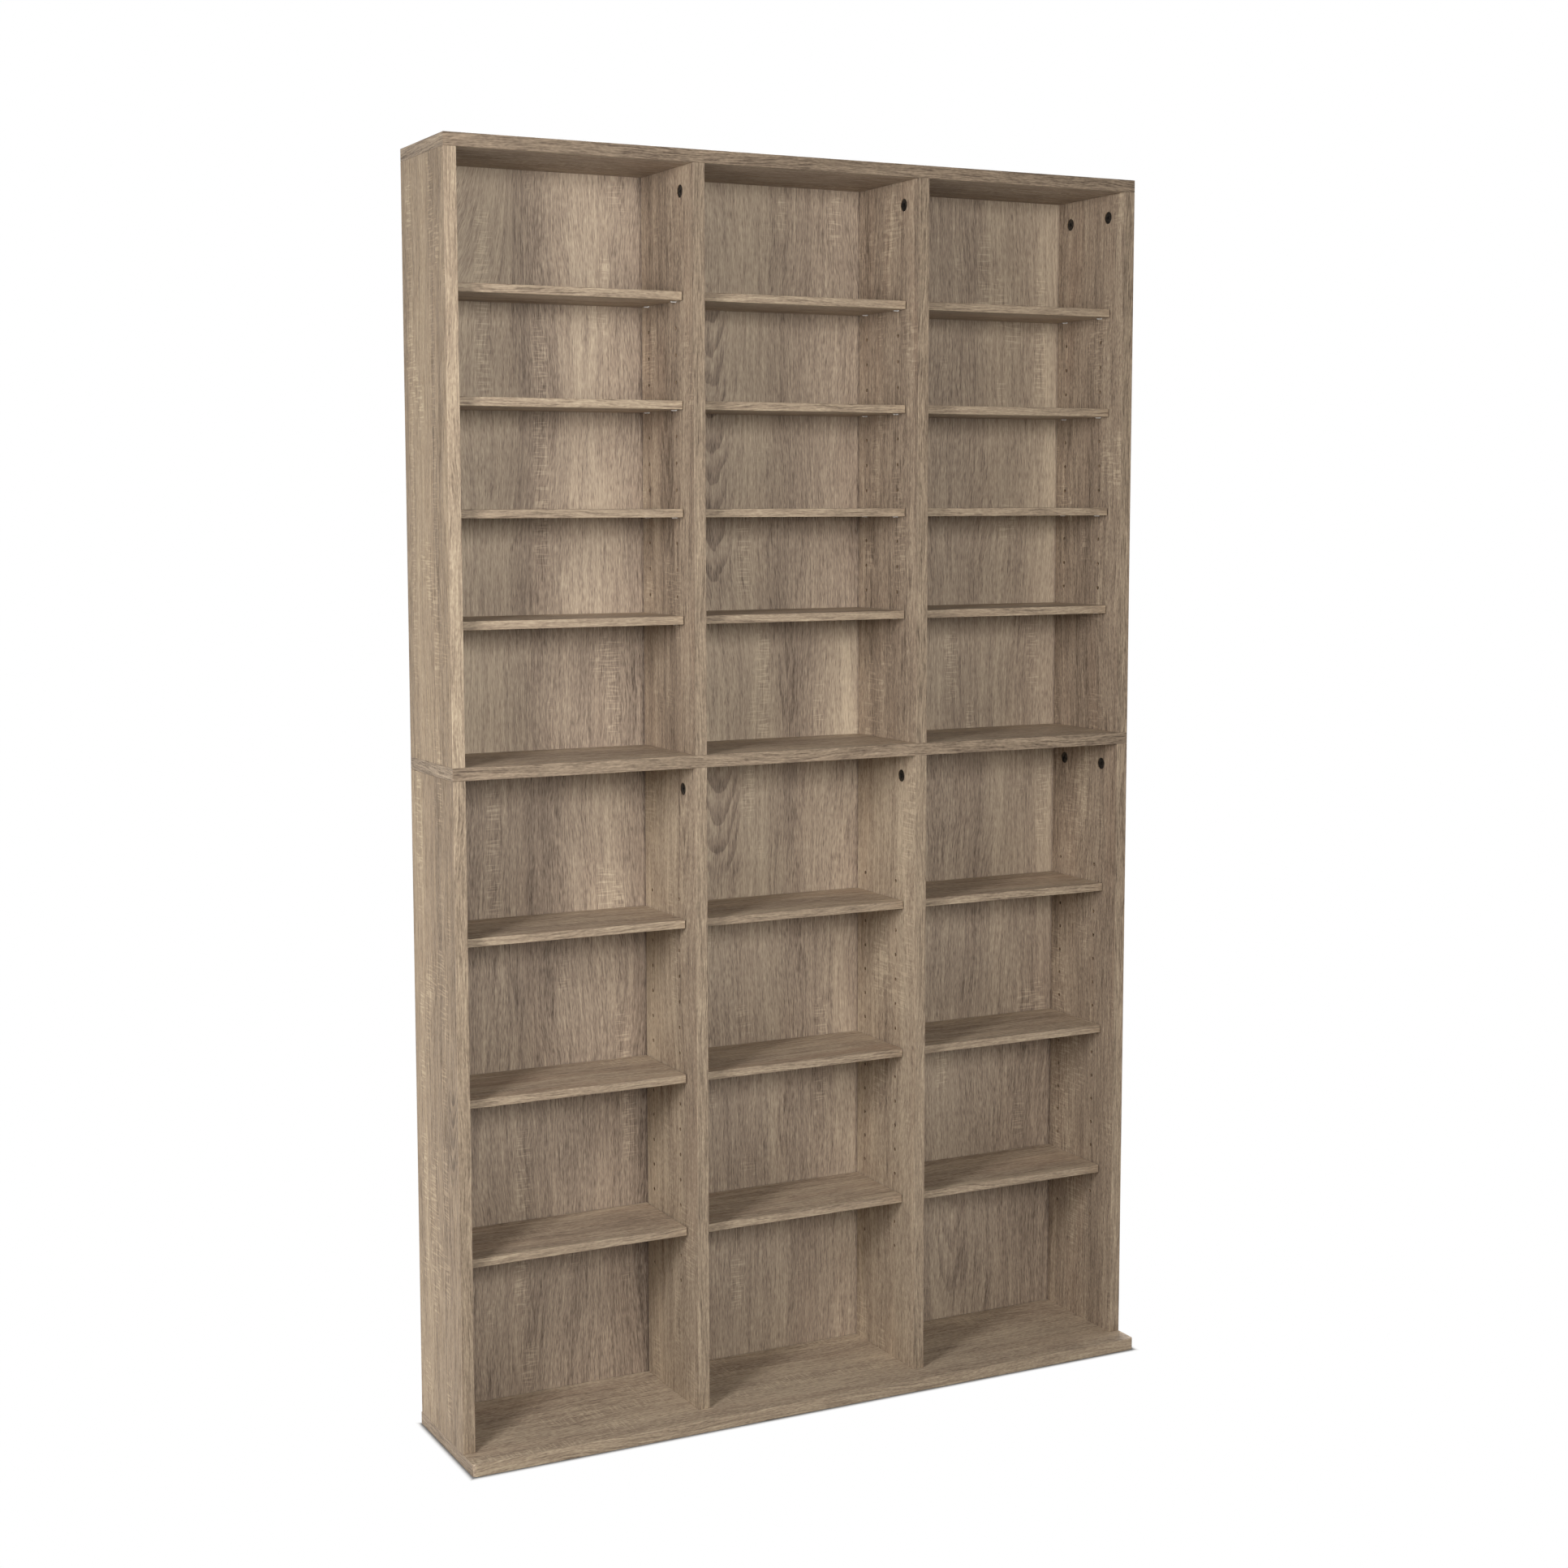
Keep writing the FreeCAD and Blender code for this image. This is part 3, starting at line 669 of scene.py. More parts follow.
class Recipe(Graph):
    """A Geometry Nodes tree with named inputs."""

    def __init__(self, name: str, inputs: dict[str, str]) -> None:
        """Start a tree.

        Args:
            name: The tree's name.
            inputs: Kind of each input after the geometry, by name.
        """
        tree = bpy.data.node_groups.new(name, "GeometryNodeTree")
        super().__init__(tree)
        tree.interface.new_socket("Geometry", in_out="INPUT", socket_type="NodeSocketGeometry")
        tree.interface.new_socket("Geometry", in_out="OUTPUT", socket_type="NodeSocketGeometry")
        self.keys: dict[str, str] = {}
        for label, kind in inputs.items():
            socket = tree.interface.new_socket(label, in_out="INPUT", socket_type=f"NodeSocket{kind}")
            self.keys[label] = socket.identifier
        self.given = self.add("NodeGroupInput").outputs

    def make(self, kind: str, inputs: Inputs, **settings: Any) -> Socket:
        """Add a geometry node, and give its first output."""
        return self.out(f"GeometryNode{kind}", inputs, **settings)

    def shape_of(self, label: str) -> Socket:
        """Shape of the object that is given under a name."""
        return self.add("GeometryNodeObjectInfo", {"Object": self.given[label]}).outputs["Geometry"]

    def chance(self, low: Any, high: Any) -> Socket:
        """A random number for each point, from the given seed."""
        limits = {2: low, 3: high, "Seed": self.given["Seed"]}
        return self.add("FunctionNodeRandomValue", limits, data_type="FLOAT").outputs[1]

    def close(self, geometry: Socket, finish: Socket, chosen: Any = True) -> None:
        """End the tree: make the geometry real and give it its material.

        Args:
            geometry: What the tree has made.
            finish: The material.
            chosen: Which faces take it.
        """
        real = self.make("RealizeInstances", {0: geometry})
        done = self.make("SetMaterial", {"Geometry": real, "Selection": chosen, "Material": finish})
        self.add("NodeGroupOutput", {0: done})

    def use_on(self, thing: Thing, values: dict[str, Any]) -> None:
        """Add the tree to an object.

        Args:
            thing: The object.
            values: The tree's inputs, by name.
        """
        modifier = thing.modifiers.new(self.tree.name, "NODES")
        modifier.node_group = self.tree
        for label, value in values.items():
            modifier[self.keys[label]] = value


def settle(thing: Thing, name: str) -> Thing:
    """Turn what an object's trees make into a plain mesh of its own.

    Args:
        thing: The object with its trees; it is removed.
        name: Name of the finished piece.

    Returns:
        The plain object.
    """
    bpy.context.view_layer.update()
    depsgraph = bpy.context.evaluated_depsgraph_get()
    evaluated = thing.evaluated_get(depsgraph)
    mesh = bpy.data.meshes.new_from_object(evaluated, preserve_all_data_layers=True, depsgraph=depsgraph)
    bpy.data.objects.remove(thing)
    return keep(mesh, name)


def boring_recipe() -> Recipe:
    """Rows of like holes, cut from a board.

    Returns:
        The tree, which puts a drill at each place of a grid and takes it out of the board.
    """
    recipe = Recipe("bored_rows", {"Drill": "Object", "First Hole": "Vector", "Hole Step": "Vector",
                                   "Holes": "Int", "Row Step": "Vector", "Rows": "Int", "Core": "Material"})
    given = recipe.given
    row = recipe.make("MeshLine", {"Count": given["Holes"], "Start Location": given["First Hole"],
                                   "Offset": given["Hole Step"]}, mode="OFFSET")
    rows = recipe.make("MeshLine", {"Count": given["Rows"], "Offset": given["Row Step"]}, mode="OFFSET")
    grid = recipe.make("InstanceOnPoints", {"Points": rows, "Instance": row})
    places = recipe.make("RealizeInstances", {0: grid})
    set_out = recipe.make("InstanceOnPoints", {"Points": places, "Instance": recipe.shape_of("Drill")})
    drills = recipe.make("RealizeInstances", {0: set_out})
    cutters = recipe.make("StoreNamedAttribute", {"Geometry": drills, "Name": "bored", "Value": True},
                          data_type="BOOLEAN", domain="FACE")
    cut = recipe.make("MeshBoolean", {"Mesh 1": given["Geometry"], "Mesh 2": cutters},
                      operation="DIFFERENCE", solver="EXACT")
    bored = recipe.make("InputNamedAttribute", {"Name": "bored"}, data_type="BOOLEAN")
    recipe.close(cut, given["Core"], bored)
    return recipe


def setting_recipe() -> Recipe:
    """A like piece at each given point, turned as the point says.

    Returns:
        The tree.
    """
    recipe = Recipe("set_pieces", {"Piece": "Object", "Finish": "Material", "Roll": "Float",
                                   "Roll Axis": "Vector", "Seed": "Int"})
    given = recipe.given
    turn = recipe.make("InputNamedAttribute", {"Name": "turn"}, data_type="FLOAT_VECTOR")
    chance = recipe.chance(recipe.times(given["Roll"], -1.0), given["Roll"])
    roll = recipe.out("ShaderNodeVectorMath", {0: given["Roll Axis"], "Scale": chance}, operation="SCALE")
    total = recipe.vector_math("ADD", turn, roll)
    set_out = recipe.make("InstanceOnPoints", {"Points": given["Geometry"],
                                               "Instance": recipe.shape_of("Piece"), "Rotation": total})
    recipe.close(set_out, given["Finish"])
    return recipe


def nailing_recipe() -> Recipe:
    """Nails at even steps along the outline of a sheet.

    Returns:
        The tree.
    """
    recipe = Recipe("nailed_outline", {"Width": "Float", "Height": "Float", "Middle": "Vector",
                                       "Spacing": "Float", "Nail": "Object", "Finish": "Material",
                                       "Seed": "Int"})
    given = recipe.given
    outline = recipe.make("CurvePrimitiveQuadrilateral", {"Width": given["Width"], "Height": given["Height"]},
                          mode="RECTANGLE")
    upright = recipe.make("Transform", {"Geometry": outline, "Translation": given["Middle"],
                                        "Rotation": (math.pi / 2, 0.0, 0.0)})
    steps = recipe.make("ResampleCurve", {"Curve": upright, "Length": given["Spacing"]}, mode="LENGTH")
    turn = recipe.out("ShaderNodeCombineXYZ", {1: recipe.chance(0.0, math.pi)})
    nails = recipe.make("InstanceOnPoints", {"Points": steps, "Instance": recipe.shape_of("Nail"),
                                             "Rotation": turn})
    recipe.close(nails, given["Finish"])
    return recipe


def ease(shape: Shape, edges: list[Any], radius: float, steps: int) -> None:
    """Round some edges off."""
    bmesh.ops.bevel(shape, geom=edges, offset=radius, offset_type="OFFSET", segments=steps, profile=0.5,
                    affect="EDGES")


@dataclass
class Board:
    """A foiled board with rounded arrises and a band on its front edge."""

    node: str
    face: OakPrint
    edge: OakPrint
    end: OakPrint | None = None
    arris: float = 0.0006
    band: float = 0.0009
    corner: float = 0.0
    rear_core: bool = False
    core_depth: float = 0.0004

    def part_of_face(self, centre: Vector) -> int:
        """Which finish a face takes.

        Args:
            centre: The face's middle.

        Returns:
            0 for the foil, 1 for the front band, 2 for an end band and 3 for bare core.
        """
        low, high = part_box(self.node)
        if centre.y < low.y + self.band:
            return 1
        if self.end and not low.x + self.band < centre.x < high.x - self.band:
            return 2
        if self.rear_core and centre.y > high.y - self.core_depth:
            return 3
        return 0

    def blank(self, core: Material, ending: str = "board") -> Thing:
        """Make the board before it is bored.

        Args:
            core: Material of bare chipboard or fibre.
            ending: What its name has after the node's.

        Returns:
            The board's object, with its finishes.
        """
        low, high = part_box(self.node)
        shape = bmesh.new()
        place = Matrix.Translation((low + high) / 2) @ Matrix.Diagonal((*(high - low), 1.0))
        bmesh.ops.create_cube(shape, size=1.0, matrix=place)
        if self.corner:
            upright = [edge for edge in shape.edges
                       if all(vert.co.y < low.y + self.arris for vert in edge.verts)
                       and edge.verts[0].co.xy == edge.verts[1].co.xy]
            ease(shape, upright, self.corner, 4)
        ease(shape, shape.edges[:], self.arris, 2)
        cuts = [((0.0, low.y + self.band, 0.0), (0.0, 1.0, 0.0))]
        if self.end:
            cuts += [((x, 0.0, 0.0), (1.0, 0.0, 0.0)) for x in (low.x + self.band, high.x - self.band)]
        for point, normal in cuts:
            bmesh.ops.bisect_plane(shape, geom=shape.verts[:] + shape.edges[:] + shape.faces[:],
                                   plane_co=point, plane_no=normal)
        for face in shape.faces:
            face.material_index = self.part_of_face(face.calc_center_median())
        made = keep(as_mesh(shape, self.node), f"{self.node}_{ending}")
        front = self.edge.material(f"{self.node}_front_band")
        end = self.end.material(f"{self.node}_end_band") if self.end else front
        for finish in (self.face.material(f"{self.node}_foil"), front, end, core):
            made.data.materials.append(finish)
        return made


@dataclass
class Joinery:
    """Places of the holes and fasteners in the uprights, from their front, rear and top edges."""

    pin_front: float = 0.058
    pin_back: float = 0.024
    pin_pitch: float = 0.03765
    pin_radius: float = 0.0025
    pin_depth: float = 0.009
    cam_front: float = 0.043
    cam_back: float = 0.031
    cam_drop: float = 0.034
    cam_radius: float = 0.009
    cam_depth: float = 0.0135
    screw_front: float = 0.068
    screw_back: float = 0.055
    dowel_back: float = 0.031
    first_hole: dict[str, float] = field(default_factory=lambda: {"lower": 0.1953, "upper": 0.1836})
    holes: dict[str, int] = field(default_factory=lambda: {"lower": 16, "upper": 13})
    shelf_holes: dict[str, tuple[int, ...]] = field(
        default_factory=lambda: {"lower": (1, 7, 13), "upper": (0, 4, 8, 12)})

    def box(self, storey: str, index: int) -> tuple[Vector, Vector]:
        """Corners of an upright, counted from the left side as 0."""
        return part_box(f"{storey}_{UPRIGHTS[index]}")

    def is_side(self, index: int) -> bool:
        """Whether an upright is one of the two sides."""
        return index in (0, len(UPRIGHTS) - 1)

    def bored_face(self, storey: str, index: int) -> Pair:
        """Place of the face that an upright is bored from, and 1 or -1 for where it looks along X."""
        low, high = self.box(storey, index)
        return (high.x, 1.0) if index == 0 else (low.x, -1.0)

    def cam_rows(self, storey: str, index: int) -> list[float]:
        """How far back an upright's cams are."""
        low, high = self.box(storey, index)
        return [low.y + self.cam_front] + ([high.y - self.cam_back] if self.is_side(index) else [])

    def screw_rows(self, storey: str, index: int) -> list[float]:
        """How far back the screws in an upright's foot are."""
        low, high = self.box(storey, index)
        return [low.y + self.screw_front, high.y - self.screw_back]

    def dowel_rows(self, storey: str, index: int) -> list[float]:
        """How far back an upright's dowel is: in a side midway between the screws."""
        if self.is_side(index):
            return [sum(self.screw_rows(storey, index)) / 2]
        return [self.box(storey, index)[1].y - self.dowel_back]

    def top(self, storey: str) -> float:
        """Height of the upper ends of a storey's uprights."""
        return self.box(storey, 0)[1].z

    def middles(self, storey: str, rows: Callable[[str, int], list[float]], rise: float = 0.0) -> Places:
        """Points midway between the faces of a storey's uprights.

        Args:
            storey: Lower or upper.
            rows: Gives how far back the points of an upright are.
            rise: Their height above the upper ends of the uprights.

        Returns:
            Each point with a turn of 0.
        """
        places = []
        height = self.top(storey) + rise
        for index in range(len(UPRIGHTS)):
            low, high = self.box(storey, index)
            places += [(Vector(((low.x + high.x) / 2, row, height)), 0.0) for row in rows(storey, index)]
        return places

    def cam_places(self, storey: str) -> Places:
        """Where the cams of a storey sit.

        Args:
            storey: Lower or upper.

        Returns:
            Middle of each cam in its face, and its turn about the upright axis.
        """
        places = []
        height = self.top(storey) - self.cam_drop
        for index in range(len(UPRIGHTS)):
            face, facing = self.bored_face(storey, index)
            turn = 0.0 if facing > 0 else math.pi
            places += [(Vector((face, row, height)), turn) for row in self.cam_rows(storey, index)]
        return places

    def pin_places(self, storey: str, bay: int) -> Places:
        """Where the shelf pins of a bay sit.

        Args:
            storey: Lower or upper.
            bay: The bay, counted from the left as 0.

        Returns:
            The point where each pin enters its upright, and its turn about the upright axis.
        """
        left, right = self.box(storey, bay), self.box(storey, bay + 1)
        places = []
        for hole in self.shelf_holes[storey]:
            height = left[1].z - self.first_hole[storey] - hole * self.pin_pitch
            for row in (left[0].y + self.pin_front, left[1].y - self.pin_back):
                places += [(Vector((left[1].x, row, height)), 0.0),
                           (Vector((right[0].x, row, height)), math.pi)]
        return places


class Workshop:
    """Drills, trees and shared finishes that the sub-assemblies use."""

    def __init__(self, joinery: Joinery) -> None:
        """Make the shared things once.

        Args:
            joinery: Sizes and places of the joints.
        """
        self.joinery = joinery
        self.boring = boring_recipe()
        self.setting = setting_recipe()
        self.nailing = nailing_recipe()
        self.core = Fibre(tint(146, 124, 100), tint(92, 75, 58)).material("chipboard_core")
        self.spare: list[Thing] = []
        self.rim = 0.0002

    def drill(self, name: str, radius: float, depth: float, facing: float, through: bool,
              sides: int = 12) -> Thing:
        """A drill's body, with the slight funnel that it leaves at the face.

        Args:
            name: Name of the drill.
            radius: Radius of the hole.
            depth: Depth of the hole, or the board's thickness.
            facing: 1 if the face looks to +X, -1 if to -X.
            through: Whether it comes out at the other face.
            sides: Faces round the hole.

        Returns:
            The drill, with its origin in the face.
        """
        rim = self.rim
        rings = [(rim, radius + 2 * rim), (-rim, radius)]
        rings += [(rim - depth, radius), (-rim - depth, radius + 2 * rim)] if through else [(-depth, radius)]
        turned = Turning(tuple((place * facing, size) for place, size in rings), sides)
        return self.master(turned.build(), name)

    def master(self, shape: Shape, name: str) -> Thing:
        """Keep a shape that a tree repeats.

        Args:
            shape: The shape.
            name: Its name.

        Returns:
            The object to repeat.
        """
        made = keep(as_mesh(shape, name), name)
        self.spare.append(made)
        return made

    def set_out(self, name: str, master: Thing, places: Places, finish: Material, roll: float = 0.0,
                axis: Triple = (1.0, 0.0, 0.0), seed: int = 1) -> Thing:
        """Repeat a master at its places.

        Args:
            name: Name of the finished piece.
            master: The shape to repeat.
            places: Point and turn about the upright axis of each.
            finish: Its material.
            roll: Largest chance roll.
            axis: Axis of the chance roll.
            seed: Seed of the chance roll.

        Returns:
            The finished piece.
        """
        mesh = bpy.data.meshes.new(name)
        mesh.from_pydata([place for place, _ in places], [], [])
        turns = mesh.attributes.new("turn", "FLOAT_VECTOR", "POINT")
        for slot, (_, turn) in zip(turns.data, places):
            slot.vector = (0.0, 0.0, turn)
        points = keep(mesh, f"{name}_points")
        self.setting.use_on(points, {"Piece": master, "Finish": finish, "Roll": roll, "Roll Axis": axis,
                                     "Seed": seed})
        return settle(points, name)

    def clear(self) -> None:
        """Remove the masters and drills."""
        for thing in self.spare:
            bpy.data.objects.remove(thing)
        self.spare = []


# Print of the bands on front edges and on the ends of the long boards
FRONT_BAND = OakPrint(Lay.BACK, tone=-0.08, bands=0.06, streaks=0.09, lines=0.20, pore_width=0.0014,
                      grit=0.24, flecks=0.0, warmth=0.06,
                      dark=tint(85, 71, 58), middle=tint(150, 132, 111), light=tint(202, 184, 156))


@dataclass
class Carcass:
    """Base, middle and top boards, and the bored uprights of both storeys."""

    workshop: Workshop
    foil: OakPrint = OakPrint(Lay.UPRIGHT, bands=0.24, streaks=0.18, lines=0.18, grit=0.34, warmth=0.16)
    outer: OakPrint = OakPrint(Lay.UPRIGHT, bands=0.12, clouds=0.04, streaks=0.16, lines=0.20, pores=0.08,
                               grit=0.26, flecks=0.22, fleck_at=((-0.015, 0.0, 1.8), (0.075, 0.0, 1.8)),
                               warmth=0.05, dark=tint(86, 70, 54), middle=tint(153, 133, 109),
                               light=tint(202, 184, 152))
    outer_bands: dict[str, WideBands] = field(default_factory=lambda: {
        "lower": WideBands(((0.0, 0.46), (0.30, 0.42), (0.55, 0.50), (0.75, 0.64), (1.0, 0.60)),
                           ((0.0, 0.52), (0.35, 0.50), (0.60, 0.60), (1.0, 0.62)), (0.25, 0.60)),
        "upper": WideBands(((0.0, 0.50), (0.32, 0.46), (0.42, 0.60), (0.80, 0.62), (1.0, 0.54)),
                           ((0.0, 0.54), (0.25, 0.46), (0.36, 0.56), (0.80, 0.58), (1.0, 0.50)), (1.1, 1.5))})
    base_corner: float = 0.006
    edge_tones: Triple = (-0.04, -0.23, -0.28)
    face_figures: dict[str, tuple[Figure, ...]] = field(default_factory=lambda: {
        "lower_left_divider": (Figure(-0.030, 0.80, 0.93, 0.012, 0.050, 0.8, 1.5, 0.20),),
        "upper_left_divider": (Figure(0.022, 1.24, 1.46, 0.018, 0.060, 0.9, 1.6, 0.20),
                               Figure(-0.036, 1.62, 1.76, 0.010, 0.070, 0.8, 1.4, 0.16)),
        "lower_right_divider": (Figure(0.030, 0.38, 0.55, 0.014, 0.080, 0.9, 1.4, 0.16),),
        "upper_right_divider": (Figure(0.070, 1.60, 1.78, 0.016, 0.060, 0.9, 1.5, 0.20),
                                Figure(-0.050, 1.02, 1.24, 0.010, 0.080, 0.9, 1.4, 0.18)),
        "lower_right_side": (Figure(0.060, 0.78, 0.93, 0.014, 0.070, 0.9, 1.5, 0.18),)})
    face_flecks: dict[str, tuple[Triple, ...]] = field(default_factory=lambda: {
        "lower_left_divider": ((0.001, 0.08, 0.17), (0.003, 0.61, 0.68)),
        "upper_right_divider": ((0.055, 1.33, 1.42), (0.063, 1.01, 1.09))})
    outer_figures: dict[str, tuple[Figure, ...]] = field(default_factory=lambda: {
        "lower": (Figure(-0.048, 0.40, 0.53, 0.016, 0.030, 1.3, 2.0, 0.26),
                  Figure(-0.020, 0.30, 0.46, 0.010, 0.090, 0.9, 1.3, 0.14)),
        "upper": (Figure(-0.018, 1.16, 1.44, 0.009, 0.160, 0.8, 1.2, 0.20),)})
    front_tones: dict[str, tuple[float, ...]] = field(default_factory=lambda: {
        "lower": (-0.15, -0.12, -0.14, -0.14), "upper": (-0.04, -0.18, -0.20, -0.20)})
    face_tones: dict[str, tuple[float, ...]] = field(default_factory=lambda: {
        "lower": (-0.22, 0.07, 0.09, -0.06), "upper": (-0.21, -0.10, -0.05, -0.12)})

    def panels(self) -> None:
        """Build the three boards that lie across the bays."""
        for number, node in enumerate(("base_panel", "middle_panel", "top_panel")):
            seed = (0.31 + 0.7 * number, 2.0 + number, 5.0 - number)
            # The foil's tone falls from the base to the top; the base's lighter tone is painted light,
            # standing in for light from above on its top face
            foil = replace(self.foil, lay=Lay.LEVEL, seed=seed, bands=0.18, streaks=0.14,
                           tone=0.07 - 0.07 * number)
            front = replace(FRONT_BAND, lay=Lay.LEVEL_EDGE, seed=seed, tone=self.edge_tones[number])
            end = replace(FRONT_BAND, lay=Lay.END, seed=seed, tone=-0.16)
            board = Board(node, foil, front, end, corner=self.base_corner if number == 0 else 0.0)
            hand_over(board.blank(self.workshop.core), CARCASS, "laminate", node)

    def uprights(self) -> None:
        """Build the sides and dividers with their rows of holes."""
        for storey_number, storey in enumerate(STOREYS):
            for index, place in enumerate(UPRIGHTS):
                node = f"{storey}_{place}"
                seed = (1.7 * index + 0.4 * storey_number, 3.0 + index, 0.9 * storey_number + 0.37 * index)
                tone = self.face_tones[storey][index]
                foil = replace(self.foil, seed=seed, tone=tone, figures=self.face_figures.get(node, ()),
                               fleck_at=self.face_flecks.get(node, ()))
                if index == 0:
                    low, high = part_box(node)
                    foil = replace(self.outer, seed=seed, tone=tone, wide_bands=self.outer_bands[storey],
                                   span=(low.y, high.y), figures=self.outer_figures[storey])
                front = replace(FRONT_BAND, seed=seed, tone=self.front_tones[storey][index])
                blank = Board(node, foil, front, rear_core=True).blank(self.workshop.core, "blank")
                self.bore(blank, storey, index)
                hand_over(settle(blank, f"{node}_board"), CARCASS, "laminate", node)

    def bore(self, blank: Thing, storey: str, index: int) -> None:
        """Cut an upright's pin holes and cam bores.

        Args:
            blank: The board before it is bored.
            storey: Lower or upper.
            index: The upright, counted from the left side as 0.
        """
        shop, sizes = self.workshop, self.workshop.joinery
        low, high = sizes.box(storey, index)
        face, facing = sizes.bored_face(storey, index)
        through = not sizes.is_side(index)
        depth = high.x - low.x if through else sizes.pin_depth
        pin_drill = shop.drill(f"pin_drill_{storey}_{index}", sizes.pin_radius, depth, facing, through)
        cam_drill = shop.drill(f"cam_drill_{storey}_{index}", sizes.cam_radius, sizes.cam_depth, facing,
                               False, 32)
        for drill, front, back, drop, step, holes, rows in (
                (pin_drill, sizes.pin_front, sizes.pin_back, sizes.first_hole[storey], sizes.pin_pitch,
                 sizes.holes[storey], 2),
                (cam_drill, sizes.cam_front, sizes.cam_back, sizes.cam_drop, 0.0, 1, 1 if through else 2)):
            shop.boring.use_on(blank, {
                "Drill": drill, "Core": shop.core, "First Hole": (face, low.y + front, high.z - drop),
                "Hole Step": (0.0, 0.0, -step), "Holes": holes,
                "Row Step": (0.0, high.y - low.y - front - back, 0.0), "Rows": rows})

    def build(self) -> None:
        """Build all the boards."""
        self.panels()
        self.uprights()


# Arches, flecks and wide bands of each back sheet; places across it count from its left edge
SHEET_FIGURES: dict[str, tuple[Figure, ...]] = {
    "upper_middle_back": (Figure(0.104, 1.20, 1.64), Figure(0.225, 0.99, 1.10, 0.012, 0.12, 0.9, 1.2, 0.22)),
    "lower_middle_back": (Figure(0.112, 0.77, 0.93, 0.024, 0.045, 0.9),
                          Figure(0.222, 0.32, 0.42, 0.008, 0.10, 0.8, 1.2, 0.26)),
    "lower_left_back": (Figure(0.150, 0.56, 0.67, 0.009, 0.12, 0.9, 1.2, 0.20),
                        Figure(0.178, 0.08, 0.19, 0.010, 0.11, 0.9, 1.2, 0.20)),
    "lower_right_back": (Figure(0.165, 0.06, 0.22, 0.020, 0.07, 0.8, 1.6, 0.18),),
}
SHEET_FLECKS: dict[str, tuple[Triple, ...]] = {
    "upper_left_back": ((0.115, 1.48, 1.73), (0.200, 1.24, 1.58), (0.310, 0.99, 1.11)),
    "upper_middle_back": ((0.309, 1.72, 1.78), (0.187, 0.98, 1.13), (0.155, 1.20, 1.30)),
    "upper_right_back": ((0.213, 1.63, 1.73), (0.318, 1.50, 1.68), (0.157, 1.02, 1.12), (0.309, 1.04, 1.13)),
    "lower_left_back": ((0.120, 0.74, 0.91), (0.320, 0.50, 0.58), (0.160, 0.30, 0.41), (0.330, 0.36, 0.46),
                        (0.155, 0.15, 0.22)),
    "lower_middle_back": ((0.160, 0.86, 0.93), (0.285, 0.40, 0.56), (0.140, 0.10, 0.17)),
    "lower_right_back": ((0.330, 0.79, 0.90), (0.145, 0.40, 0.46), (0.290, 0.31, 0.37)),
}
SHEET_BANDS: dict[str, WideBands] = {
    "upper_left_back": WideBands(
        ((0.30, 0.64), (0.42, 0.62), (0.46, 0.48), (0.54, 0.45), (0.58, 0.49), (0.78, 0.62), (0.95, 0.40)),
        ((0.30, 0.73), (0.42, 0.66), (0.50, 0.55), (0.60, 0.48), (0.72, 0.42), (0.83, 0.48), (0.95, 0.29)),
        (1.10, 1.18)),
    "lower_left_back": WideBands(
        ((0.29, 0.45), (0.38, 0.56), (0.51, 0.28), (0.62, 0.50), (0.78, 0.61), (0.86, 0.56), (0.95, 0.33)),
        ((0.30, 0.49), (0.50, 0.47), (0.80, 0.45), (0.88, 0.38), (0.95, 0.21)),
        (0.40, 0.80)),
    "upper_middle_back": WideBands(
        ((0.28, 0.60), (0.42, 0.66), (0.50, 0.60), (0.60, 0.45), (0.70, 0.54), (0.83, 0.55), (0.94, 0.47)),
        ((0.28, 0.66), (0.33, 0.72), (0.39, 0.62), (0.57, 0.66), (0.66, 0.38), (0.72, 0.41), (0.89, 0.76)),
        (1.10, 1.18)),
    "lower_middle_back": WideBands(
        ((0.28, 0.65), (0.50, 0.68), (0.58, 0.55), (0.66, 0.40), (0.73, 0.58), (0.83, 0.62), (0.94, 0.48)),
        ((0.28, 0.50), (0.39, 0.57), (0.44, 0.50), (0.58, 0.61), (0.66, 0.39), (0.80, 0.46), (0.94, 0.62)),
        (0.40, 0.80)),
    "upper_right_back": WideBands(
        ((0.27, 0.40), (0.38, 0.53), (0.43, 0.56), (0.53, 0.50), (0.64, 0.67), (0.78, 0.55), (0.92, 0.72)),
        ((0.27, 0.43), (0.37, 0.66), (0.43, 0.52), (0.57, 0.62), (0.74, 0.60), (0.81, 0.48), (0.92, 0.64)),
        (1.10, 1.18)),
    "lower_right_back": WideBands(
        ((0.27, 0.35), (0.38, 0.56), (0.49, 0.54), (0.57, 0.45), (0.65, 0.64), (0.76, 0.51), (0.92, 0.67)),
        ((0.27, 0.44), (0.37, 0.64), (0.60, 0.53), (0.70, 0.50), (0.78, 0.41), (0.92, 0.38)),
        (0.40, 0.80)),
}


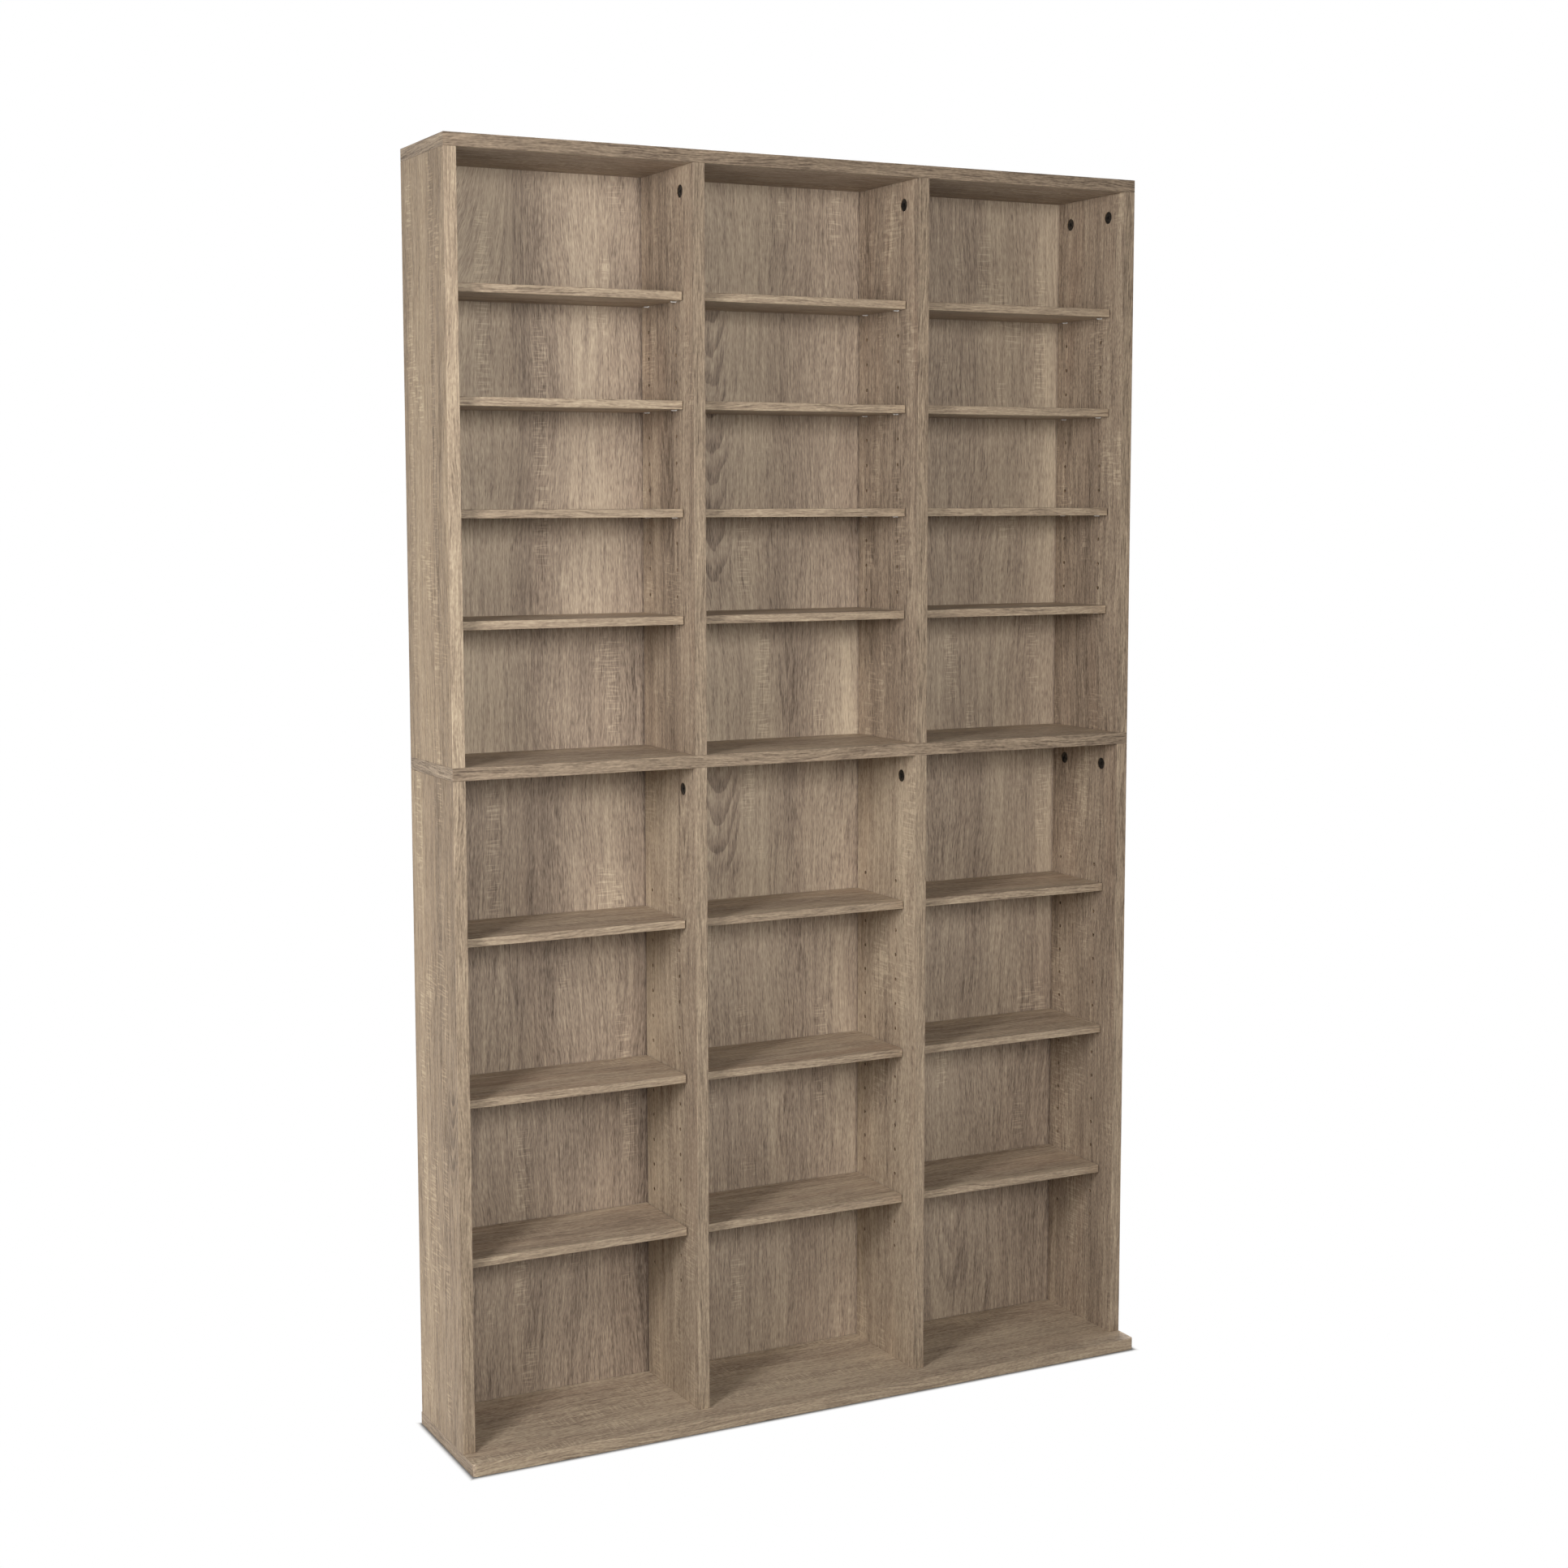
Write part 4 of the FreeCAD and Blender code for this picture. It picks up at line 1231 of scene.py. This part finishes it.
@dataclass
class BackSheets:
    """The thin printed sheets behind the bays, and the nails that hold them."""

    workshop: Workshop
    foil: OakPrint = OakPrint(Lay.BACK, tone=-0.05, bands=0.10, clouds=0.06, streaks=0.13, lines=0.18,
                              pores=0.10, pore_width=0.0013, pore_length=0.018, grit=0.36,
                              grit_size=(680, 680, 95), flecks=0.20, fleck_rarity=0.66, warmth=0.06,
                              dark=tint(84, 71, 61), middle=tint(149, 132, 115), light=tint(197, 180, 155))
    left_slant: Triple = (1.62, 1.80, 0.055)
    arris: float = 0.0003
    edge: float = 0.0005
    nail_inset: float = 0.009
    nail_spacing: float = 0.11
    nail_rings: Steps = ((-0.0002, 0.0024), (0.0005, 0.0023), (0.0008, 0.0012))
    nail_seed: int = 7

    def sheet(self, node: str, storey: str, bay: int, bare: Material) -> Thing:
        """Make one sheet.

        Args:
            node: Its CAD node.
            storey: Lower or upper.
            bay: The bay, counted from the left as 0.
            bare: Material of its rear.

        Returns:
            The sheet.
        """
        low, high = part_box(node)
        sizes, level = self.workshop.joinery, STOREYS.index(storey)
        figures = SHEET_FIGURES.get(node, ())
        finish = replace(
            self.foil, seed=(0.6 * bay + 0.2 * level, 4.0, 0.7 * level + bay), wide_bands=SHEET_BANDS[node],
            span=(low.x, high.x), slant=self.left_slant if bay == 0 else None,
            figures=tuple(replace(figure, centre=low.x + figure.centre) for figure in figures),
            fleck_at=tuple((low.x + place, *heights) for place, *heights in SHEET_FLECKS[node]),
            # Painted shade along both edges, where the sheet meets the uprights' faces
            painted_corner_shade=(sizes.box(storey, bay)[1].x, sizes.box(storey, bay + 1)[0].x))
        board = Board(node, finish, finish, arris=self.arris, band=self.edge, rear_core=True)
        return board.blank(bare, "sheet")

    def nails(self, node: str, nail: Thing, steel: Material, seed: int) -> Thing:
        """Drive the nails along the edges of a sheet.

        Args:
            node: The sheet's CAD node.
            nail: The nail to repeat.
            steel: Its material.
            seed: Seed of its turns.

        Returns:
            The sheet's nails.
        """
        low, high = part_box(node)
        middle = (low + high) / 2
        points = keep(bpy.data.meshes.new(f"{node}_outline"), f"{node}_outline")
        self.workshop.nailing.use_on(points, {
            "Width": high.x - low.x - 2 * self.nail_inset, "Height": high.z - low.z - 2 * self.nail_inset,
            "Middle": (middle.x, high.y, middle.z), "Spacing": self.nail_spacing, "Nail": nail,
            "Finish": steel, "Seed": seed})
        return settle(points, f"{node}_nails")

    def build(self) -> None:
        """Build and nail every sheet."""
        bare = Fibre(tint(150, 122, 92), tint(104, 80, 58), chip=0.0009).material("bare_fibre_back")
        steel = Metal(tint(176, 172, 164), tint(120, 116, 108), 0.35).material("nail_steel")
        nail = self.workshop.master(Turning(self.nail_rings, 8, along_x=False).build(), "nail_head")
        nail.data.transform(Matrix.Rotation(-math.pi / 2, 4, "X"))
        for storey in STOREYS:
            for number, bay in enumerate(BAYS):
                node = f"{storey}_{bay}_back"
                hand_over(self.sheet(node, storey, number, bare), CARCASS, "back_sheet", node)
                nails = self.nails(node, nail, steel, self.nail_seed + number)
                hand_over(nails, CARCASS, "pin_steel")


@dataclass
class Shelves:
    """The loose shelves of every bay; each rides its own body."""

    workshop: Workshop
    foil: OakPrint = OakPrint(Lay.LEVEL, bands=0.16, streaks=0.18, lines=0.20, grit=0.26, flecks=0.10)
    front: OakPrint = replace(FRONT_BAND, lay=Lay.LEVEL_EDGE, streaks=0.06, lines=0.18, grit=0.22)
    arris: float = 0.0007

    def build(self) -> None:
        """Build the shelves of both storeys."""
        count = 0
        for storey, shelves in self.workshop.joinery.shelf_holes.items():
            for bay in BAYS:
                for number in range(1, len(shelves) + 1):
                    count += 1
                    node = f"{storey}_{bay}_shelf_{number}"
                    seed = (0.83 * count, 1.0 + 0.31 * count, 2.0 - 0.57 * count)
                    board = Board(node, replace(self.foil, seed=seed), replace(self.front, seed=seed),
                                  arris=self.arris)
                    hand_over(board.blank(self.workshop.core), node, "laminate", node)


@dataclass
class Fasteners:
    """Shelf pins, cam locks, cam bolts, dowels and screws; a ring is a place on the axis and a radius."""

    workshop: Workshop
    # Bright plated steel with a painted highlight: the near-white, mostly non-metal finish makes the pins
    # look as bright as their glints
    pin_steel: Metal = Metal(tint(248, 248, 246), tint(232, 231, 228), 0.22, share=0.25)
    # Painted shade: the zinc is darkened to stand in for the shade deep in the cam bores
    shaded_cam_zinc: Metal = Metal(tint(88, 85, 81), tint(54, 52, 50), 0.45)
    bolt_steel: Metal = Metal(tint(205, 196, 170), tint(160, 148, 118), 0.3)
    pin_rings: Steps = (
        (-0.008, 0.0019), (-0.0075, 0.0024), (0.0, 0.0024), (0.0016, 0.0024), (0.00161, 0.0024),
        (0.0026, 0.0024), (0.0030, 0.0021), (0.0038, 0.0021), (0.0042, 0.0024), (0.0064, 0.0024),
        (0.0073, 0.0021), (0.0078, 0.0014), (0.0080, 0.0005))
    pin_flat: Pair = (0.0016001, -0.001)
    cam_play: float = 0.00015
    cam_cross: Triple = (0.004, 0.0008, 0.0025)
    cam_roll: float = 0.35
    cam_mouth: float = 0.0034
    head_gap: float = 0.0003
    dowel_rings: Steps = ((-0.015, 0.0032), (-0.0138, 0.004), (0.0138, 0.004), (0.015, 0.0032))
    thread: Pair = (0.0032, 0.0024)
    thread_pitch: float = 0.0018
    screw_cross: Triple = (0.0026, 0.0006, 0.0018)
    screw_roll: float = 0.6

    def pins(self) -> None:
        """Set the shelf pins of every bay."""
        shop = self.workshop
        flat_from, flat_height = self.pin_flat
        shape = Turning(self.pin_rings, 20, flat_from=flat_from, flat_height=flat_height).build()
        master = shop.master(shape, "pin_master")
        # The near-white pin finish is partly a painted highlight for the pins' glints
        finish = self.pin_steel.material("pin_steel")
        for storey in STOREYS:
            for number, bay in enumerate(BAYS):
                node = f"{storey}_{bay}_shelf_pins"
                piece = shop.set_out(f"{node}_set", master, shop.joinery.pin_places(storey, number), finish)
                hand_over(piece, CARCASS, "pin_steel", node)

    def set_kind(self, kind: str, slot: str, shape: Shape, finish: Material, places: Callable[[str], Places],
                 roll: float = 0.0, axis: Triple = (1.0, 0.0, 0.0), seed: int = 1) -> None:
        """Set one kind of fastener in both storeys.

        Args:
            kind: What its nodes have after the storey's name.
            slot: The record's material slot.
            shape: The fastener.
            finish: Its material.
            places: Gives the places in a storey.
            roll: Largest chance roll.
            axis: Axis of the chance roll.
            seed: Seed of the chance roll.
        """
        master = self.workshop.master(shape, f"{kind}_master")
        for storey in STOREYS:
            node = f"{storey}_{kind}"
            piece = self.workshop.set_out(f"{node}_set", master, places(storey), finish, roll, axis, seed)
            hand_over(piece, CARCASS, slot, node)

    def cams(self) -> None:
        """Set the cam locks in their bores."""
        joinery = self.workshop.joinery
        radius = joinery.cam_radius - self.cam_play
        shape = Turning(((-0.0133, radius - 0.0004), (-0.0129, radius), (-0.0009, radius),
                         (-0.0005, radius - 0.0005)), 32).build()
        sink_cross(shape, Vector((-0.0005, 0.0, 0.0)), Vector((1.0, 0.0, 0.0)), *self.cam_cross)
        # The darkened zinc stands in for the shade inside the bores (painted shade)
        self.set_kind("cam_locks", "cam_metal", shape, self.shaded_cam_zinc.material("shaded_cam_zinc"),
                      joinery.cam_places, self.cam_roll)

    def threaded(self, start: float, end: float) -> list[Pair]:
        """Rings of a thread.

        Args:
            start: Height where it starts.
            end: Height where it ends.

        Returns:
            Height and radius of each ring.
        """
        turns = int((end - start) / self.thread_pitch)
        step = (end - start) / (2 * turns)
        return [(start + step * number, self.thread[number % 2]) for number in range(2 * turns + 1)]

    def bolts(self) -> None:
        """Stand the cam bolts in their cams, screwed into the board above."""
        joinery = self.workshop.joinery
        radius = joinery.cam_radius - self.cam_play
        shoulder = radius - self.cam_mouth - self.head_gap
        rings = [(shoulder - 0.005, 0.0026), (shoulder - 0.0042, 0.0035), (shoulder - 0.0006, 0.0035),
                 (shoulder, 0.002), (radius + 0.0003, 0.002), (0.0096, 0.0031), (0.033, 0.0031)]
        rings += self.threaded(0.0345, 0.0444) + [(0.045, 0.0014)]
        shape = Turning(tuple(rings), 12, along_x=False).build()
        self.set_kind("cam_bolts", "bolt_steel", shape, self.bolt_steel.material("bolt_steel"),
                      lambda storey: joinery.middles(storey, joinery.cam_rows, -joinery.cam_drop))

    def dowels(self) -> None:
        """Stand the wooden dowels in the joints."""
        joinery = self.workshop.joinery
        shape = Turning(self.dowel_rings, 24, flutes=0.00025, along_x=False).build()
        self.set_kind("dowels", "dowel_wood", shape, Beech().material("beech"),
                      lambda storey: joinery.middles(storey, joinery.dowel_rows))

    def screws(self) -> None:
        """Drive the screws up into the feet of the uprights."""
        joinery = self.workshop.joinery
        under = {"lower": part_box("base_panel")[0].z, "upper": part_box("middle_panel")[0].z}
        rings = [(0.0, 0.005), (0.0004, 0.00495), (0.003, 0.0030)]
        rings += self.threaded(0.005, 0.0465) + [(0.050, 0.0004)]
        shape = Turning(tuple(rings), 12, along_x=False).build()
        sink_cross(shape, Vector((0.0, 0.0, 0.0)), Vector((0.0, 0.0, -1.0)), *self.screw_cross)
        self.set_kind("screws", "bolt_steel", shape, self.bolt_steel.material("screw_steel"),
                      lambda storey: joinery.middles(storey, joinery.screw_rows,
                                                     under[storey] - joinery.top(storey)),
                      self.screw_roll, (0.0, 0.0, 1.0), 3)

    def build(self) -> None:
        """Make every kind of fastener."""
        self.pins()
        self.cams()
        self.bolts()
        self.dowels()
        self.screws()


@dataclass(frozen=True)
class Lamp:
    """A soft rectangular lamp: where it hangs, what it looks at, its size and its watts."""

    name: str
    place: Triple
    aim: Triple
    size: Pair
    power: float

    def hang(self) -> None:
        """Put the lamp in the scene."""
        light = bpy.data.lights.new(self.name, "AREA")
        light.shape = "RECTANGLE"
        light.size, light.size_y = self.size
        light.energy = self.power
        thing = bpy.data.objects.new(self.name, light)
        thing.visible_camera = False
        turn = (Vector(self.aim) - Vector(self.place)).to_track_quat("-Z", "Y").to_matrix().to_4x4()
        thing.matrix_world = Matrix.Translation(self.place) @ turn
        bpy.context.scene.collection.objects.link(thing)


@dataclass
class Studio:
    """Camera, white ground and soft lamps."""

    eye: Triple = (-1.610896, -3.068871, 1.322133)
    heading: float = 0.463644
    tilt: float = 0.104395
    roll: float = 0.002621
    focal: float = 2919.082
    centre: Pair = (918.297, 929.486)
    frame_width: float = 1932.0
    sensor: float = 36.0
    ambient: float = 0.05
    reach: float = 14.0
    sink: float = 0.0003
    # Painted contact shadow on the ground: the darker colour at the base, and the distance over which it
    # fades out
    painted_shade_reach: float = 0.006
    seen_reach: float = 0.009
    painted_contact_shade: Colour = (0.20, 0.20, 0.20, 1.0)
    ground_open: Colour = (0.62, 0.61, 0.60, 1.0)
    white: Colour = (1.0, 1.0, 1.0, 1.0)
    lamps: tuple[Lamp, ...] = (
        Lamp("key", (-1.76, -1.18, 1.6), (-0.1, 0.0, 0.85), (0.4, 0.9), 31.0),
        Lamp("fill", (-0.8, -3.4, 1.75), (0.0, 0.0, 0.9), (0.9, 0.9), 74.0),
        Lamp("side", (-1.9, 0.1, 0.12), (-0.5, 0.0, 0.2), (0.8, 0.6), 14.0),
        Lamp("rear", (1.4, 2.6, 3.4), (0.1, 0.1, 1.1), (1.5, 1.5), 150.0),
        Lamp("right", (3.0, 0.35, 0.9), (0.5, 0.0, 0.9), (1.2, 1.2), 26.0))

    def camera(self) -> None:
        """Stand the camera where the photograph was taken from."""
        level = Vector((math.sin(self.heading), math.cos(self.heading), 0.0))
        right = Vector((math.cos(self.heading), -math.sin(self.heading), 0.0))
        up = Vector((0.0, 0.0, 1.0))
        ahead = level * math.cos(self.tilt) - up * math.sin(self.tilt)
        down = -up * math.cos(self.tilt) - level * math.sin(self.tilt)
        side = right * math.cos(self.roll) + down * math.sin(self.roll)
        foot = down * math.cos(self.roll) - right * math.sin(self.roll)
        turn = Matrix((side, -foot, -ahead)).transposed().to_4x4()
        lens = bpy.data.cameras.new("camera")
        lens.sensor_width = self.sensor
        lens.lens = self.focal * self.sensor / self.frame_width
        lens.shift_x = (self.frame_width / 2 - self.centre[0]) / self.frame_width
        lens.shift_y = (self.centre[1] - self.frame_width / 2) / self.frame_width
        lens.clip_end = 60.0
        stand = bpy.data.objects.new("camera", lens)
        stand.matrix_world = Matrix.Translation(self.eye) @ turn
        bpy.context.scene.collection.objects.link(stand)
        bpy.context.scene.camera = stand

    def seen(self, graph: Graph) -> Socket:
        """Which rays see white: those from the camera, from gloss and through glass.

        Args:
            graph: The tree that asks.

        Returns:
            1 for those rays and 0 for the others.
        """
        rays = graph.add("ShaderNodeLightPath").outputs
        first = graph.math("MAXIMUM", rays["Is Camera Ray"], rays["Is Glossy Ray"])
        return graph.math("MAXIMUM", first, rays["Is Transmission Ray"])

    def ground(self) -> None:
        """Lay the white ground, which keeps the cabinet's shadow, with painted shade darkening it close round
        the base.
        """
        mesh = bpy.data.meshes.new("ground")
        plan = ((-1, -1), (1, -1), (1, 1), (-1, 1))
        mesh.from_pydata([(x * self.reach, y * self.reach, -self.sink) for x, y in plan], [], [(0, 1, 2, 3)])
        floor = keep(mesh, "ground")
        paint = Paint("white_ground")
        white = paint.out("ShaderNodeEmission", {"Color": self.white, "Strength": 1.0})
        parts = paint.add("ShaderNodeSeparateXYZ", {0: paint.place}).outputs
        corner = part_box("base_panel")[1]
        beside, before = (paint.minus(paint.math("ABSOLUTE", parts[axis]), corner[axis]) for axis in (0, 1))
        far = paint.math("MAXIMUM", beside, before)
        # Painted shade: the floor's colour darkens to grey within a few millimetres of the base, a painted
        # contact shadow
        pale = paint.blend(paint.spread(far, 0.0, self.painted_shade_reach), self.painted_contact_shade, self.ground_open)
        plain = paint.out("ShaderNodeBsdfDiffuse", {"Color": pale})
        share = paint.times(self.seen(paint), paint.spread(far, 0.0, self.seen_reach, 0.05, 1.0))
        mixed = paint.out("ShaderNodeMixShader", {0: share, 1: plain, 2: white})
        paint.add("ShaderNodeOutputMaterial", {"Surface": mixed})
        floor.data.materials.append(paint.material)

    def sky(self) -> None:
        """Surround the scene with soft light, white to the eye."""
        world = bpy.data.worlds.new("studio")
        world.use_nodes = True
        graph = Graph(world.node_tree)
        strength = graph.math("MAXIMUM", self.seen(graph), self.ambient)
        light = graph.out("ShaderNodeBackground", {"Color": self.white, "Strength": strength})
        graph.add("ShaderNodeOutputWorld", {"Surface": light})
        bpy.context.scene.world = world

    def build(self) -> None:
        """Set up everything round the cabinet."""
        self.camera()
        self.ground()
        self.sky()
        for lamp in self.lamps:
            lamp.hang()
        bpy.context.scene.view_settings.view_transform = "Standard"


def main() -> None:
    """Build the cabinet's looks, sub-assembly by sub-assembly."""
    logging.basicConfig(level=logging.INFO, format="%(message)s")
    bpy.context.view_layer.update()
    Studio().build()
    workshop = Workshop(Joinery())
    for assembly in (Carcass(workshop), BackSheets(workshop), Shelves(workshop), Fasteners(workshop)):
        LOG.info("building %s", type(assembly).__name__)
        assembly.build()
    workshop.clear()


if __name__ == "__main__":
    main()
